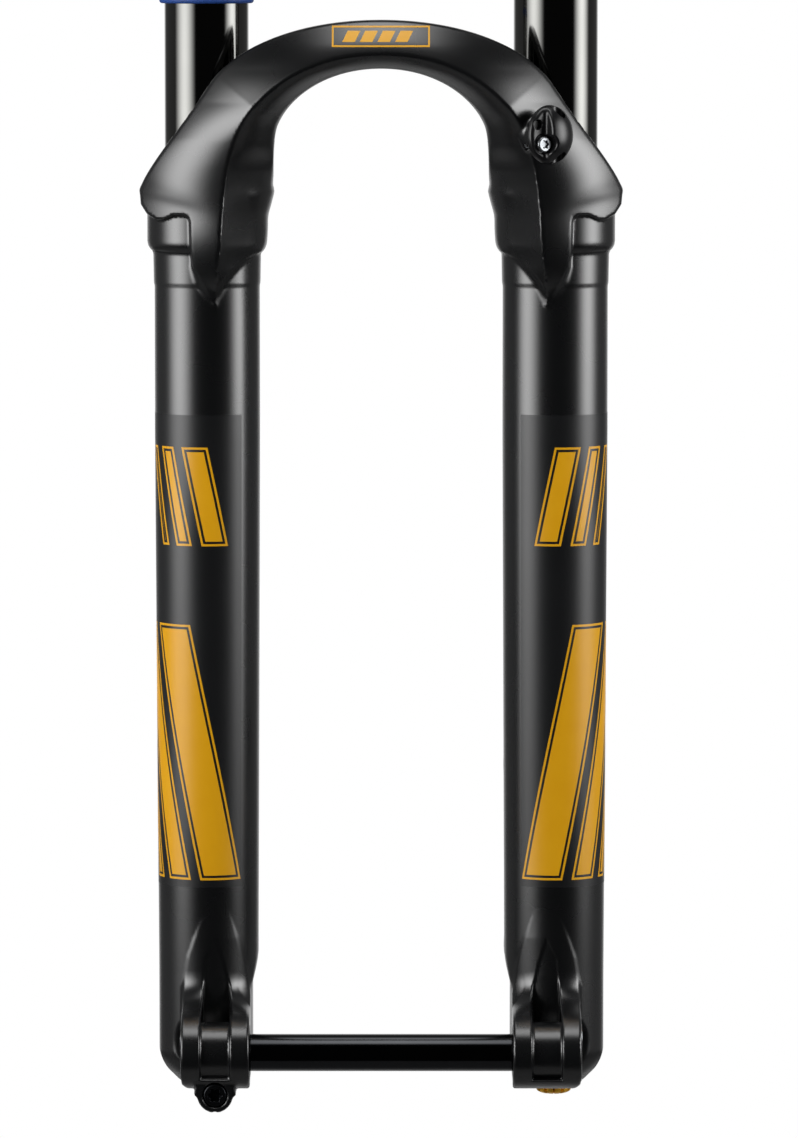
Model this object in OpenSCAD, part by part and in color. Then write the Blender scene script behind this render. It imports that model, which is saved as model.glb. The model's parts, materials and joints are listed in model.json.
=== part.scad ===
// Single-crown bicycle suspension fork with an air spring in one leg and a
// cartridge damper in the other. Millimetres.
// Frame: the origin is the centre of the crown-race seat on the steerer axis,
// +Z runs up the steerer, -Y faces forward and +X is the damper side.

/* [Overall] */
// Suspension travel
travel = 140; // [110:1:160]
// Distance between the two stanchion axes
leg_spacing = 141; // [136:0.5:150]
// Stanchion axes ahead of the steerer axis
crown_offset = 8; // [4:0.5:12]
// Wheel axle ahead of the steerer axis
axle_offset = 44; // [42:0.5:50]
// Wheel axle up to the top of the collars
leg_height = 350; // [335:1:380]
// Room left between seals and crown at full travel
bottom_out_gap = 12; // [6:0.5:20]

/* [Steerer] */
// Uncut steerer above the crown-race seat
steerer_length = 255; // [180:1:300]
// Outer diameter of the clamped upper part
steerer_d = 28.6; // [28.6:0.1:31.8]
// Bore of the upper part
steerer_bore_d = 23.4; // [20:0.1:24.5]
// Crown-race seat diameter
race_seat_d = 39.8; // [39:0.1:41]
// Height of the crown-race seat
race_seat_h = 10; // [7:0.5:14]
// Diameter just above the race seat
taper_d = 38.1; // [34:0.1:38.5]
// Length of the conical stretch
taper_h = 95; // [60:1:130]
// Bore at the foot of the steerer
steerer_foot_bore_d = 31; // [26:0.5:33]

/* [Crown] */
// Race seat down to the lower rim of the stanchion sockets
crown_h = 46; // [40:0.5:60]
// Race seat down to the stanchion tops
crown_drop = 8; // [5:0.5:12]
// Wall of a stanchion socket
socket_wall = 5.5; // [4:0.5:6.5]
// Diameter of the central boss
crown_boss_d = 54; // [50:0.5:60]
// Depth of the central boss
crown_boss_h = 40; // [34:0.5:46]
// Fore-and-aft width of the crown arms
crown_arm_w = 36; // [30:0.5:40]
// Wall left round the pockets under the arms
crown_web = 4.5; // [3.5:0.5:6]

/* [Stanchions] */
// Outer diameter
stanchion_d = 34; // [32:0.1:35]
// Tube wall
stanchion_wall = 2.5; // [2:0.1:3]

/* [Lower legs] */
// Outer diameter below the neck
leg_d = 42.6; // [41.6:0.1:45]
// Outer diameter just above the dropout
leg_foot_d = 40.6; // [39.6:0.1:42]
// Collar that carries the arch
collar_d = 54.6; // [52:0.1:58]
// Ring round the seal pocket
seal_ring_d = 48.4; // [47.4:0.1:50]
// Neck between seal ring and leg
neck_d = 43.6; // [43:0.1:46]
// Height of the collar
collar_h = 13; // [11:0.5:15]
// Height of the seal ring under the collar
seal_ring_h = 12.4; // [10:0.2:16]
// Height of the neck
neck_h = 15.4; // [10:0.2:20]
// Axle down to the underside of the foot
foot_drop = 17.5; // [15:0.5:22]
// Thickness of the foot
foot_wall = 8; // [6:0.5:12]
// Flat under the foot
foot_flat_d = 22; // [20:0.5:26]
// Clear bore past the stanchion ends
lower_bore_d = 36; // [35.4:0.1:36.6]
// Narrow bore above the foot
foot_bore_d = 31; // [28:0.5:31.5]
// Axle up to the end of the clear bore
foot_bore_h = 29; // [24:0.5:34]

/* [Arch] */
// Top of the arch above the collars
arch_rise = 66; // [60:0.5:72]
// Height of the front face at the middle, from top edge to ridge
arch_face = 13.6; // [10:0.2:17]
// Height of the bevel under the ridge at the middle
arch_bevel = 5.8; // [4:0.2:8]
// Back of the arch ahead of the leg axes
arch_back = 25; // [24.5:0.1:27]
// Ridge ahead of the leg axes at the middle
arch_reach = 47; // [44:0.5:50]
// Ridge ahead of the leg axes at the collars
collar_reach = 33; // [31:0.5:35]
// Tip of the beak below the collar top
beak_drop = 46; // [40:0.5:52]
// Outboard edge of the beak from the leg axis
beak_edge = 6.4; // [4:0.2:9]
// Radius kept free round each leg axis above the collars
arch_clearance_r = 24.8; // [24:0.1:25.4]

/* [Dropouts] */
// Hub width between its end caps
hub_w = 110; // [109:0.5:112]
// Depth of the seat for a hub end cap
hub_seat_depth = 2; // [1:0.1:3]
// Diameter of the seat for a hub end cap
hub_seat_d = 21.4; // [20.6:0.1:23]
// Wheel axle diameter
axle_d = 15; // [14:0.1:15.4]
// Bore of the hollow axle
axle_bore_d = 10; // [8:0.1:11]
// Width of a dropout along the axle
dropout_w = 28; // [26:0.5:29]
// Outer radius of a dropout's ribs round the axle
dropout_r = 14.5; // [14:0.1:16]
// Depth of the groove between the ribs
rib_depth = 2.2; // [1:0.1:3]
// Thickness of a rib
rib_w = 7.6; // [6:0.1:9]
// Top of the ribs above the axle
rib_rise = 40; // [34:0.5:48]
// Wall of the sleeves round the axle
sleeve_wall = 1.5; // [1.2:0.1:2]
// Radius of the tool clearance round the axle ends
tool_relief_r = 21; // [19:0.5:22]
// Axle down to the pinch bolt
pinch_drop = 16; // [15.5:0.1:18]
// Radius of the pinch ear
pinch_ear_r = 7.2; // [6.6:0.1:8]
// Pinch bolt thread diameter
pinch_bolt_d = 5; // [4:0.5:5]
// Width of the pinch slit
pinch_slit = 1.6; // [1:0.1:2.4]

/* [Brake mount] */
// Distance between the two caliper bolts
brake_spacing = 74.2; // [60:0.1:80]
// Midpoint of the bolts above the axle
brake_rise = 76; // [68:0.5:90]
// Mounting face behind the leg axis
brake_face = 36; // [32:0.5:42]
// Bolts inboard of the leg axis
brake_inset = 11; // [8:0.5:12]
// Core diameter of the threaded holes
brake_hole_d = 5; // [4.6:0.1:5.4]
// Diameter of a post
brake_post_d = 15; // [13:0.5:17]
// Depth of the threaded holes
brake_hole_h = 16; // [12:0.5:18]

/* [Seals and bushings] */
// Outer diameter of the wiper seal
seal_d = 44; // [43:0.1:44.6]
// Depth of the seal pocket
seal_pocket_h = 10; // [8:0.5:11]
// Seal standing proud of the collar
seal_lip_h = 3; // [2:0.1:4]
// Outer diameter of the foam ring
foam_d = 41; // [39:0.1:42]
// Height of the foam ring
foam_h = 9; // [6:0.5:10]
// Outer diameter of the bushings
bushing_d = 37; // [36.8:0.1:37.4]
// Height of a bushing
bushing_h = 20; // [15:0.5:24]
// Distance between upper and lower bushing
bushing_gap = 90; // [70:1:100]

/* [Air spring] */
// Air shaft diameter
air_shaft_d = 10; // [9:0.1:12]
// Height of the seal heads in the stanchion ends
seal_head_h = 14; // [12:0.5:18]
// Height of the air piston
air_piston_h = 14; // [12:0.5:18]
// Height of the top-out bumper
bumper_h = 6; // [4:0.5:10]
// Height of one volume spacer
spacer_h = 14; // [10:0.5:18]
// Number of volume spacers
spacer_count = 2; // [1:1:3]
// Height of the bottom-out bumper under the volume spacers
bottom_bumper_h = 8; // [5:0.5:12]
// Valve stem diameter
valve_d = 7.8; // [7:0.1:8.4]

/* [Damper] */
// Outer tube diameter
damper_tube_d = 25; // [24:0.1:26.6]
// Inner tube diameter
damper_inner_d = 20; // [19:0.1:20.6]
// Wall of both tubes
damper_wall = 1; // [0.8:0.1:1.2]
// Damper shaft diameter
damper_shaft_d = 10; // [9:0.1:11]
// Rebound rod diameter
rebound_rod_d = 4; // [3:0.1:4.6]
// Height of the damper piston
damper_piston_h = 12; // [10:0.5:16]
// Top cap down to the inner tube
base_valve_drop = 60; // [50:1:80]

/* [Caps and knobs] */
// Depth of the threaded part of the top caps
cap_thread_h = 20; // [16:0.5:24]
// Diameter of the top caps' flanges
cap_d = 33; // [32:0.1:34]
// Height of the top caps' flanges
cap_h = 4; // [3:0.1:6]
// Rebound knob diameter
rebound_knob_d = 14.4; // [13.4:0.1:17]
// Rebound knob height
rebound_knob_h = 3.4; // [3.2:0.1:5]
// Compression lever hub diameter
lever_d = 22; // [20:0.5:25]
// Compression knob diameter
compression_knob_d = 17; // [15:0.5:19]
// Grips round a knob
knob_flutes = 12; // [8:1:16]

/* [Small parts] */
// Sag ring section diameter
sag_ring_d = 2.4; // [1.8:0.1:3]
// Sag ring above the seal at rest
sag_ring_rise = 70.5; // [60:0.5:74]
// Diameter of the hose guide
guide_d = 22; // [20:0.5:24]
// Bore for the brake hose
hose_d = 5.4; // [5:0.1:5.8]
// Stand-off of the hose guide from the arch
guide_gap = 1.4; // [1:0.1:2]

/* [Fits] */
// Radial gap of pieces pressed or screwed together
seat_gap = 0.02; // [0.01:0.01:0.05]
// Radial gap of pieces that slide or turn in each other
run_gap = 0.05; // [0.03:0.01:0.09]
// Axial gap between a turning piece and its seat
turn_gap = 0.3; // [0.2:0.05:0.5]

/* [Hidden] */
$fn = 64;
// Overrun of a cut past the face it opens
cut = 1;

// Colours
magnesium = "#26282B";
black_anodised = "#1B1C1E";
bare_alloy = "#9DA1A6";
steel = "#B8BCC0";
gold = "#D9960A";
blue = "#1F4E9C";
rubber = "#202020";
plastic = "#17181A";
bronze = "#8A7448";
foam = "#55524C";
spacer_grey = "#6A6C70";

// Axes and levels
leg_x = leg_spacing / 2;
leg_y = -crown_offset;
socket_z = -crown_h;
seal_top_z = socket_z - bottom_out_gap - travel;
collar_z = seal_top_z - seal_lip_h;
axle_z = collar_z - leg_height;
foot_z = axle_z - foot_drop;
floor_z = foot_z + foot_wall;
bore_end_z = axle_z + foot_bore_h;
stanchion_top_z = -crown_drop;
// Stanchion end kept clear of the step in the bore at full travel
stanchion_end_gap = 4;
stanchion_end_z = bore_end_z + travel + stanchion_end_gap;

// Radii shared by pieces that fit together
stanchion_r = stanchion_d / 2;
tube_r = stanchion_r - stanchion_wall;
collar_r = collar_d / 2;
leg_r = leg_d / 2;
leg_foot_r = leg_foot_d / 2;
axle_r = axle_d / 2;
sleeve_r = axle_r + run_gap + sleeve_wall;
shaft_r = damper_shaft_d / 2;
rod_r = rebound_rod_d / 2;

// Levels inside the legs
foam_z = collar_z - seal_pocket_h;
upper_bushing_z = foam_z - foam_h - bushing_h;
lower_bushing_z = upper_bushing_z - bushing_gap - bushing_h;
clip_h = 1.4;
clip_lift = 1.6;
clip_r = tube_r + stanchion_wall / 3;
seal_head_z = stanchion_end_z + clip_lift + clip_h;
bumper_z = seal_head_z + seal_head_h;
air_piston_z = bumper_z + bumper_h;
cap_bottom_z = stanchion_top_z - cap_thread_h;
cap_top_z = stanchion_top_z + cap_h;
base_valve_z = cap_bottom_z - base_valve_drop;
// Depth of the plug that centres the inner tube on its ends
tube_plug_h = 8;
// Damper piston above the seal head's plug at rest
damper_piston_z = bumper_z + tube_plug_h + 3;
inner_in_r = damper_inner_d / 2 - damper_wall;
outer_in_r = damper_tube_d / 2 - damper_wall;

// Foot fasteners
foot_hole_r = 4.2;
foot_thread_r = 4;
foot_head_r = 5.6;
foot_head_h = 2;
washer_h = 1;
washer_r = 6.6;
shaft_flange_r = 9;
shaft_flange_h = 5;
foot_thread_h = 14;

// Dropout, in a frame on the leg axis whose +X points inboard
drop_y = -(axle_offset - crown_offset);
drop_in = leg_x - hub_w / 2 + hub_seat_depth;
drop_out = drop_in - dropout_w;
drop_mid = (drop_in + drop_out) / 2;
core_r = dropout_r - rib_depth;
// Flat on the inboard side of the leg beside the hub
hub_flat = drop_in + 0.4;
hub_flat_rise = 24;
pinch_z = axle_z - pinch_drop;
pinch_front = drop_y - 9.5;
pinch_back = drop_y + 9.5;
pinch_head_r = 4.6;
pinch_head_h = 4;

// Post-mount brake bosses
brake_z = axle_z + brake_rise;

// Hose guide: turned outboard so that it lies along the arch's flank
guide_turn = 33;
guide_x = leg_x - 6.3;
guide_y = leg_y - 40.7;
guide_z = collar_z + 20.4;
guide_base_h = 4.6;
guide_bolt_at = [-2.4, -3.6];
guide_bolt_r = 2;
guide_head_r = 3.1;
guide_head_h = 1.8;
guide_bolt_depth = 9;
hose_at = [4.6, 4.2];

// Frames

// On a leg's axis with +X pointing inboard: side -1 is the air leg, +1 the damper leg
module on_leg(side) {
    mirror([side > 0 ? 1 : 0, 0, 0]) translate([-leg_x, leg_y, 0]) children();
}

// A flat ring or sleeve round the Z axis
module sleeve(outer, inner, z0, z1) {
    rotate_extrude() translate([inner, z0]) square([outer - inner, z1 - z0]);
}

// A solid round bar on the Z axis
module bar(r, z0, z1) {
    translate([0, 0, z0]) cylinder(r = r, h = z1 - z0);
}

// A round bar along X, from x0 to x1, on the wheel axle of a leg's frame
module axle_bar(r, x0, x1) {
    translate([x0, drop_y, axle_z]) rotate([0, 90, 0]) cylinder(r = r, h = x1 - x0);
}

// A profile drawn in Y and Z, extruded along X from x0 to x1
module side_plate(x0, x1) {
    translate([x0, 0, 0]) rotate([90, 0, 90]) linear_extrude(x1 - x0) children();
}

// A flat-ended ring with round edges, as a knob's or cap's flange
module soft_disc(r, z0, z1, edge) {
    rotate_extrude() polygon([
        [0, z0], [r - edge, z0], [r, z0 + edge], [r, z1 - edge], [r - edge, z1], [0, z1]
    ]);
}

// Curves of the arch

// Cubic Bezier through four control points
function bez(p, t) = pow(1 - t, 3) * p[0] + 3 * pow(1 - t, 2) * t * p[1]
    + 3 * (1 - t) * t * t * p[2] + t * t * t * p[3];

// Two Bezier stretches: t from 0 to 1 is the crown of the arch, 1 to 2 its flank
function edge(p, t) = t < 1 ? bez(p[0], t) : bez(p[1], t - 1);

// Control points of half the arch: x from the middle outwards, y from the leg
// axes, z above the collar tops
arch_outer = [
    [[0, -arch_back - 13, arch_rise], [leg_x / 2 + 1, -arch_back - 13, arch_rise],
     [leg_x - 10.5, -arch_back - 6, arch_rise - 12.5], [leg_x - 1.5, -arch_back - 2, arch_rise - 26]],
    [[leg_x - 1.5, -arch_back - 2, arch_rise - 26], [leg_x + 10.5, -arch_back - 1, arch_rise - 44.5],
     [leg_x + collar_r - 2.8, -23, 1], [leg_x + collar_r - 0.2, -9.5, -9]]
];
ridge_z = arch_rise - arch_face;
arch_ridge = [
    [[0, -arch_reach, ridge_z], [leg_x / 2 - 5, -arch_reach, ridge_z],
     [leg_x - 28.5, -arch_reach + 1, ridge_z - 12], [leg_x - 19.5, -arch_reach + 2.5, ridge_z - 21]],
    [[leg_x - 19.5, -arch_reach + 2.5, ridge_z - 21], [leg_x - 12, -arch_reach + 5, ridge_z - 30],
     [leg_x - 8, -collar_reach - 0.6, 4], [leg_x - 6.5, -collar_reach + 1, -16]]
];
inner_z = ridge_z - arch_bevel;
arch_inner = [
    [[0, -arch_back - 13, inner_z], [leg_x / 2 - 14, -arch_back - 13, inner_z],
     [leg_x - 34, -arch_back - 12, inner_z - 11], [leg_x - 29, -arch_back - 9, inner_z - 23]],
    [[leg_x - 29, -arch_back - 9, inner_z - 23], [leg_x - 26.9, -arch_back - 6, inner_z - 28.5],
     [leg_x - 26.9, -16, 4], [leg_x - collar_r + 0.2, 0, -9]]
];
arch_rear = [
    [-arch_back, -arch_back, -arch_back, -arch_back],
    [-arch_back, -arch_back + 1, -8, 3]
];

// Points of a bulging face from a towards b, without b itself
function face_points(a, b, across, ahead, n) =
    let (c = [a.x + (b.x - a.x) * across, a.y + (b.y - a.y) * ahead, a.z + (b.z - a.z) * across])
    [for (i = [0 : n - 1]) let (t = i / n) (1 - t) * (1 - t) * a + 2 * t * (1 - t) * c + t * t * b];

// Bulge of the outer face along the arch: rounded at the crown, nearly flat on the
// shoulder and round again on the cheek that stands on the collar
outer_across = [[0, 0.6], [0.6, 0.5], [1, 0.42], [1.5, 0.34], [2, 0.32]];
outer_ahead = [[0, 0.82], [0.6, 0.66], [1, 0.58], [1.5, 0.8], [2, 0.86]];

// Closed section of the arch at t: outer face, ridge, inner face and back
face_steps = 5;
function arch_section(t) =
    let (
        o = edge(arch_outer, t), r = edge(arch_ridge, t), i = edge(arch_inner, t), b = edge(arch_rear, t)
    )
    concat(face_points(o, r, lookup(t, outer_across), lookup(t, outer_ahead), face_steps),
        face_points(r, i, 0.65, 0.35, face_steps), [i, [i.x, b, i.z], [o.x, b, o.z]]);

// Section of the hollow cast into the arch from behind, a wall inside the faces
arch_wall = 5.5;
function pocket_section(t) =
    let (
        o = edge(arch_outer, t), r = edge(arch_ridge, t), i = edge(arch_inner, t),
        back = edge(arch_rear, t) + cut,
        upper = o + (r - o) * 0.36, lower = r + (i - r) * 0.4
    )
    [
        [upper.x, upper.y + arch_wall - 1, upper.z], [r.x, r.y + arch_wall + 1, r.z],
        [lower.x, lower.y + arch_wall, lower.z], [lower.x, back, lower.z], [upper.x, back, upper.z]
    ];

function flip_x(points) = [for (p = points) [-p.x, p.y, p.z]];

// Closed solid through a list of sections with equal point counts
module loft(sections) {
    n = len(sections[0]);
    last = len(sections) - 1;
    middle = function (s) [for (k = [0 : 2]) [for (p = s) p[k]] * [for (p = s) 1] / n];
    points = concat([for (s = sections) each s], [middle(sections[0]), middle(sections[last])]);
    sides = [
        for (k = [0 : last - 1], j = [0 : n - 1])
            let (a = k * n + j, b = k * n + (j + 1) % n)
            each [[b, a, b + n], [b + n, a, a + n]]
    ];
    caps = [
        for (j = [0 : n - 1])
            let (a = j, b = (j + 1) % n)
            each [[a, b, len(points) - 2], [last * n + b, last * n + a, len(points) - 1]]
    ];
    polyhedron(points, concat(sides, caps));
}

// Sections per half arch
arch_steps = 20;
module arch() {
    half = [for (k = [0 : arch_steps]) arch_section(2 * k / arch_steps)];
    left = [for (k = [arch_steps : -1 : 1]) flip_x(half[k])];
    translate([0, leg_y, collar_z]) loft(concat(left, half));
}

// Hollows behind the arch, with ribs left between them: where each starts and ends along the arch
arch_hollows = [[0.03, 0.27], [0.33, 0.57], [0.63, 0.85]];
hollow_steps = 4;
module arch_hollow(from, to) {
    translate([0, leg_y, collar_z])
        loft([for (k = [0 : hollow_steps]) pocket_section(from + (to - from) * k / hollow_steps)]);
}

// Beak: the ridge runs down over the leg's front and dies out in a point.
// Curves from top to tip in the leg's frame, z from the collar top.
beak_outer = [
    [-beak_edge, -28.5, -11], [-beak_edge, -28, -beak_drop / 2], [-beak_edge, -24, -beak_drop + 9],
    [-beak_edge - 0.4, -leg_r + 3.4, -beak_drop - 2]
];
beak_ridge = [
    [6.5, -collar_reach + 0.8, -11], [6.2, -collar_reach + 2, -beak_drop / 2 - 1],
    [4.4, -leg_r - 4.4, -beak_drop + 8], [3.6, -leg_r + 1.2, -beak_drop - 2]
];
beak_inner = [
    [collar_r - 1.6, -4, -11], [collar_r - 1.5, -4, -beak_drop / 2 + 1],
    [leg_r + 2.5, -6, -beak_drop + 16], [leg_r - 9, -12, -beak_drop - 2]
];
// Bulge of the inner face, which covers the seal ring at the top and is flat at the tip
beak_across = [[0, 1.05], [0.6, 1.05], [1, 0.5]];
beak_ahead = [[0, 0.73], [0.6, 0.73], [1, 0.5]];
beak_steps = 9;
module beak() {
    sections = [
        for (k = [beak_steps : -1 : 0])
            let (t = k / beak_steps, o = bez(beak_outer, t), r = bez(beak_ridge, t), i = bez(beak_inner, t))
            concat(face_points(o, r, 0.45, 0.55, 4),
                face_points(r, i, lookup(t, beak_across), lookup(t, beak_ahead), 4),
                [i, [i.x / 2, i.y / 2, i.z], [o.x, -leg_r + 7, o.z]])
    ];
    translate([0, 0, collar_z]) loft(sections);
}

// Lower casting

// Outside of one leg, turned about its axis
module leg_outside() {
    ring_z = collar_z - collar_h;
    neck_z = ring_z - seal_ring_h;
    seam_z = neck_z - neck_h;
    round_r = 7;
    round_z = foot_z + leg_foot_r - foot_flat_d / 2 + round_r * tan(22.5);
    foot_arc = [
        for (a = [0 : 15 : 45])
            [leg_foot_r - round_r + round_r * cos(a), round_z - round_r * sin(a)]
    ];
    rotate_extrude() polygon(concat(
        [[0, collar_z], [collar_r - 2.5, collar_z], [collar_r, collar_z - 4.5], [collar_r, ring_z + 4],
         [seal_ring_d / 2 + 0.4, ring_z], [seal_ring_d / 2, ring_z - 1], [seal_ring_d / 2, neck_z],
         [neck_d / 2, neck_z - 2.4], [neck_d / 2 - 0.2, seam_z], [leg_r, seam_z - 0.4],
         [leg_r, seam_z - 60], [leg_foot_r, bore_end_z]],
        foot_arc,
        [[foot_flat_d / 2, foot_z], [0, foot_z]]
    ));
}

// Stepped bores of one leg
module leg_bores() {
    bar(seal_d / 2, foam_z, collar_z + cut);
    bar(foam_d / 2, foam_z - foam_h, foam_z + cut);
    bar(bushing_d / 2, lower_bushing_z, foam_z);
    bar(lower_bore_d / 2, bore_end_z, lower_bushing_z + cut);
    bar(foot_bore_d / 2, floor_z, bore_end_z + cut);
    bar(foot_hole_r, foot_z - cut, floor_z + cut);
}

// Side view of a dropout: a round nose on the axle that sweeps up into the leg's front
nose_sweep_r = 28;
module nose_profile() {
    axle = [drop_y, axle_z];
    front = -leg_foot_r;
    rise = sqrt(pow(dropout_r + nose_sweep_r, 2) - pow(drop_y - front + nose_sweep_r, 2));
    centre = [front - nose_sweep_r, axle_z + rise];
    meet = atan2(axle.y - centre.y, axle.x - centre.x);
    sweep = [for (k = [0 : 8]) centre + nose_sweep_r * [cos(meet * k / 8), sin(meet * k / 8)]];
    low = axle_z - dropout_r + 1.5;
    // The ribs run out above the sweep, into the round of the leg
    top = centre.y + 18;
    translate(axle) circle(r = dropout_r);
    polygon(concat(
        [[0, top], [front + 6.5, top]], sweep,
        [axle, [drop_y, axle_z - dropout_r], [drop_y + 8, low], [0, low]]
    ));
}

// Front view of a dropout: straight beside the hub, narrowing up the leg
module nose_front() {
    polygon([
        [drop_out + 3, -dropout_r - cut], [drop_out + 0.6, 2.5 - dropout_r], [drop_out, 6 - dropout_r],
        [drop_out, hub_flat_rise], [drop_out + 2, rib_rise - 4], [-3, rib_rise + 12], [4, rib_rise + 18],
        [9, rib_rise + 16], [12.2, rib_rise + 5], [16.2, rib_rise - 9], [drop_in, rib_rise / 2],
        [drop_in, -dropout_r - cut]
    ]);
}

// Front view of the pocket between the two ribs of a dropout
module rib_gap() {
    polygon([
        [drop_out + rib_w, -dropout_r * 2 / 3], [drop_in - rib_w, -dropout_r * 2 / 3],
        [drop_in - rib_w, rib_rise / 2], [drop_in - rib_w - 1, rib_rise - 14],
        [drop_in - rib_w - 4, rib_rise - 2], [drop_mid - 2, rib_rise + 14],
        [drop_out + rib_w - 1, rib_rise - 2], [drop_out + rib_w, rib_rise / 2]
    ]);
}

// A front view drawn round the axle, carried from well ahead of the nose back to the leg axis
module front_block() {
    translate([0, 0, axle_z]) rotate([90, 0, 0]) linear_extrude(dropout_r - drop_y + cut) children();
}

// One dropout: the nose with a pocket between two ribs, open to the front, and a core round the axle
module dropout_body() {
    difference() {
        intersection() {
            side_plate(drop_out - cut, drop_in + cut) nose_profile();
            front_block() nose_front();
        }
        front_block() rib_gap();
    }
    side_plate(drop_out + cut, drop_in - cut) {
        translate([drop_y, axle_z]) circle(r = core_r);
        translate([drop_y, axle_z - core_r]) square([-drop_y - leg_foot_r / 2, 2 * core_r - 3]);
    }
}

// What is cut from a leg and its dropout for the hub, the axle sleeves and tools
module dropout_cuts() {
    axle_bar(sleeve_r + seat_gap, drop_out - cut, drop_in + cut);
    axle_bar(hub_seat_d / 2, drop_in - hub_seat_depth, drop_in + cut);
    axle_bar(tool_relief_r, drop_out - 2 * leg_foot_r, drop_out);
}

// Flat beside the hub, running out up the leg
module hub_side_cut() {
    far = leg_r + cut;
    top = axle_z + hub_flat_rise;
    translate([0, leg_r, 0]) rotate([90, 0, 0]) linear_extrude(3 * leg_r) polygon([
        [hub_flat, foot_z - cut], [hub_flat, top], [leg_foot_r + 0.4, top + 11], [far, top + 11],
        [far, foot_z - cut]
    ]);
}

// Pinch ear under the air-side dropout
module pinch_ear() {
    translate([drop_mid, pinch_front, pinch_z]) rotate([-90, 0, 0])
        cylinder(r = pinch_ear_r, h = pinch_back - pinch_front);
    translate([drop_mid - pinch_ear_r - 1, pinch_front, pinch_z])
        cube([2 * pinch_ear_r + 2, pinch_back - pinch_front, pinch_drop - core_r + 2]);
}

module pinch_cuts() {
    y0 = drop_y - pinch_slit / 2;
    translate([drop_out - cut, y0, pinch_z - pinch_ear_r - cut])
        cube([dropout_w + 2 * cut, pinch_slit, pinch_drop + pinch_ear_r + cut]);
    translate([drop_mid, pinch_front - cut, pinch_z]) rotate([-90, 0, 0]) {
        cylinder(r = pinch_bolt_d / 2 + seat_gap, h = pinch_back - pinch_front + 2 * cut);
        cylinder(r = pinch_head_r + 0.5, h = pinch_head_h + cut);
    }
}

// Seat for the flange of the axle nut in the damper-side dropout
nut_flange_r = 11.5;
nut_flange_h = 3;
module axle_nut_cut() {
    axle_bar(nut_flange_r + seat_gap, drop_out - cut, drop_out + nut_flange_h);
}

// The two posts behind the damper leg for a brake caliper
module brake_posts() {
    for (s = [-1, 1]) translate([brake_inset, 0, brake_z + s * brake_spacing / 2]) {
        rotate([-90, 0, 0]) cylinder(d = brake_post_d, h = brake_face);
        // Gusset under the post
        side_plate(-brake_post_d / 4, brake_post_d / 4)
            polygon([[leg_foot_r / 2, 0], [brake_face - 3, 0], [leg_foot_r / 2, -2.2 * brake_post_d]]);
    }
}

module brake_holes() {
    for (s = [-1, 1]) translate([brake_inset, brake_face - brake_hole_h, brake_z + s * brake_spacing / 2])
        rotate([-90, 0, 0]) cylinder(d = brake_hole_d, h = brake_hole_h + cut);
}

// The hose guide's frame on the arch: +X outboard, +Y up, +Z out of the arch
module guide_frame() {
    translate([guide_x, guide_y, guide_z]) rotate([90, 0, guide_turn]) translate([0, 0, guide_gap]) children();
}

guide_boss_r = 7;
guide_boss_h = 8;
module guide_boss() {
    guide_frame() translate([0, 0, -guide_boss_h]) cylinder(r = guide_boss_r, h = guide_boss_h);
}

module guide_bolt_hole() {
    guide_frame() translate([guide_bolt_at.x, guide_bolt_at.y, -guide_bolt_depth])
        cylinder(r = guide_bolt_r + seat_gap, h = guide_bolt_depth + cut);
}

// One magnesium casting: both legs, collars, arch, beaks, dropouts and brake posts
module lower_casting() color(magnesium) difference() {
    union() {
        difference() {
            union() {
                arch();
                guide_boss();
            }
            for (side = [-1, 1]) on_leg(side) bar(arch_clearance_r, collar_z, collar_z + arch_rise + cut);
            for (side = [0, 1], h = arch_hollows) mirror([side, 0, 0]) arch_hollow(h[0], h[1]);
        }
        for (side = [-1, 1]) on_leg(side) {
            difference() {
                leg_outside();
                hub_side_cut();
            }
            beak();
            dropout_body();
        }
        on_leg(-1) pinch_ear();
        on_leg(1) brake_posts();
    }
    for (side = [-1, 1]) on_leg(side) {
        leg_bores();
        dropout_cuts();
    }
    on_leg(-1) pinch_cuts();
    on_leg(1) axle_nut_cut();
    on_leg(1) brake_holes();
    guide_bolt_hole();
}

// Steerer and crown

module steerer_tube() color(black_anodised) {
    taper_z = race_seat_h + 1;
    taper_top = taper_z + taper_h;
    bore_r = steerer_bore_d / 2;
    foot_r = steerer_foot_bore_d / 2;
    insert_r = race_seat_d / 2 - 1.4;
    rotate_extrude() polygon([
        [foot_r, -crown_boss_h], [insert_r, -crown_boss_h], [insert_r, 0], [race_seat_d / 2, 0],
        [race_seat_d / 2, race_seat_h], [taper_d / 2, taper_z], [steerer_d / 2, taper_top],
        [steerer_d / 2, steerer_length - 1], [steerer_d / 2 - 1, steerer_length],
        [bore_r, steerer_length], [bore_r, taper_top], [foot_r, taper_z]
    ]);
}

socket_r = stanchion_r + socket_wall;

// Crown seen from above
module crown_plan(inset) {
    arm = crown_arm_w / 2 - inset;
    circle(d = crown_boss_d - 2 * inset);
    for (side = [-1, 1]) translate([side * leg_x, leg_y]) circle(r = socket_r - inset);
    polygon([
        [-leg_x, leg_y - arm], [0, -crown_boss_d / 2 + 3 + inset], [leg_x, leg_y - arm],
        [leg_x, leg_y + arm], [0, crown_boss_d / 2 - 3 - inset], [-leg_x, leg_y + arm]
    ]);
}

// Crown seen from the front: shoulders fall to the sockets, the underside is arched
module crown_front() {
    boss = crown_boss_d / 2;
    inner = leg_x - socket_r;
    far = leg_x + socket_r + cut;
    half = [
        [boss - 4, 0], [boss + 3, -2], [inner + 4, stanchion_top_z], [far, stanchion_top_z],
        [far, socket_z], [inner, socket_z], [inner - 6, socket_z + 6], [boss, -crown_boss_h]
    ];
    polygon(concat(half, [for (k = [len(half) - 1 : -1 : 0]) [-half[k].x, half[k].y]]));
}

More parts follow.
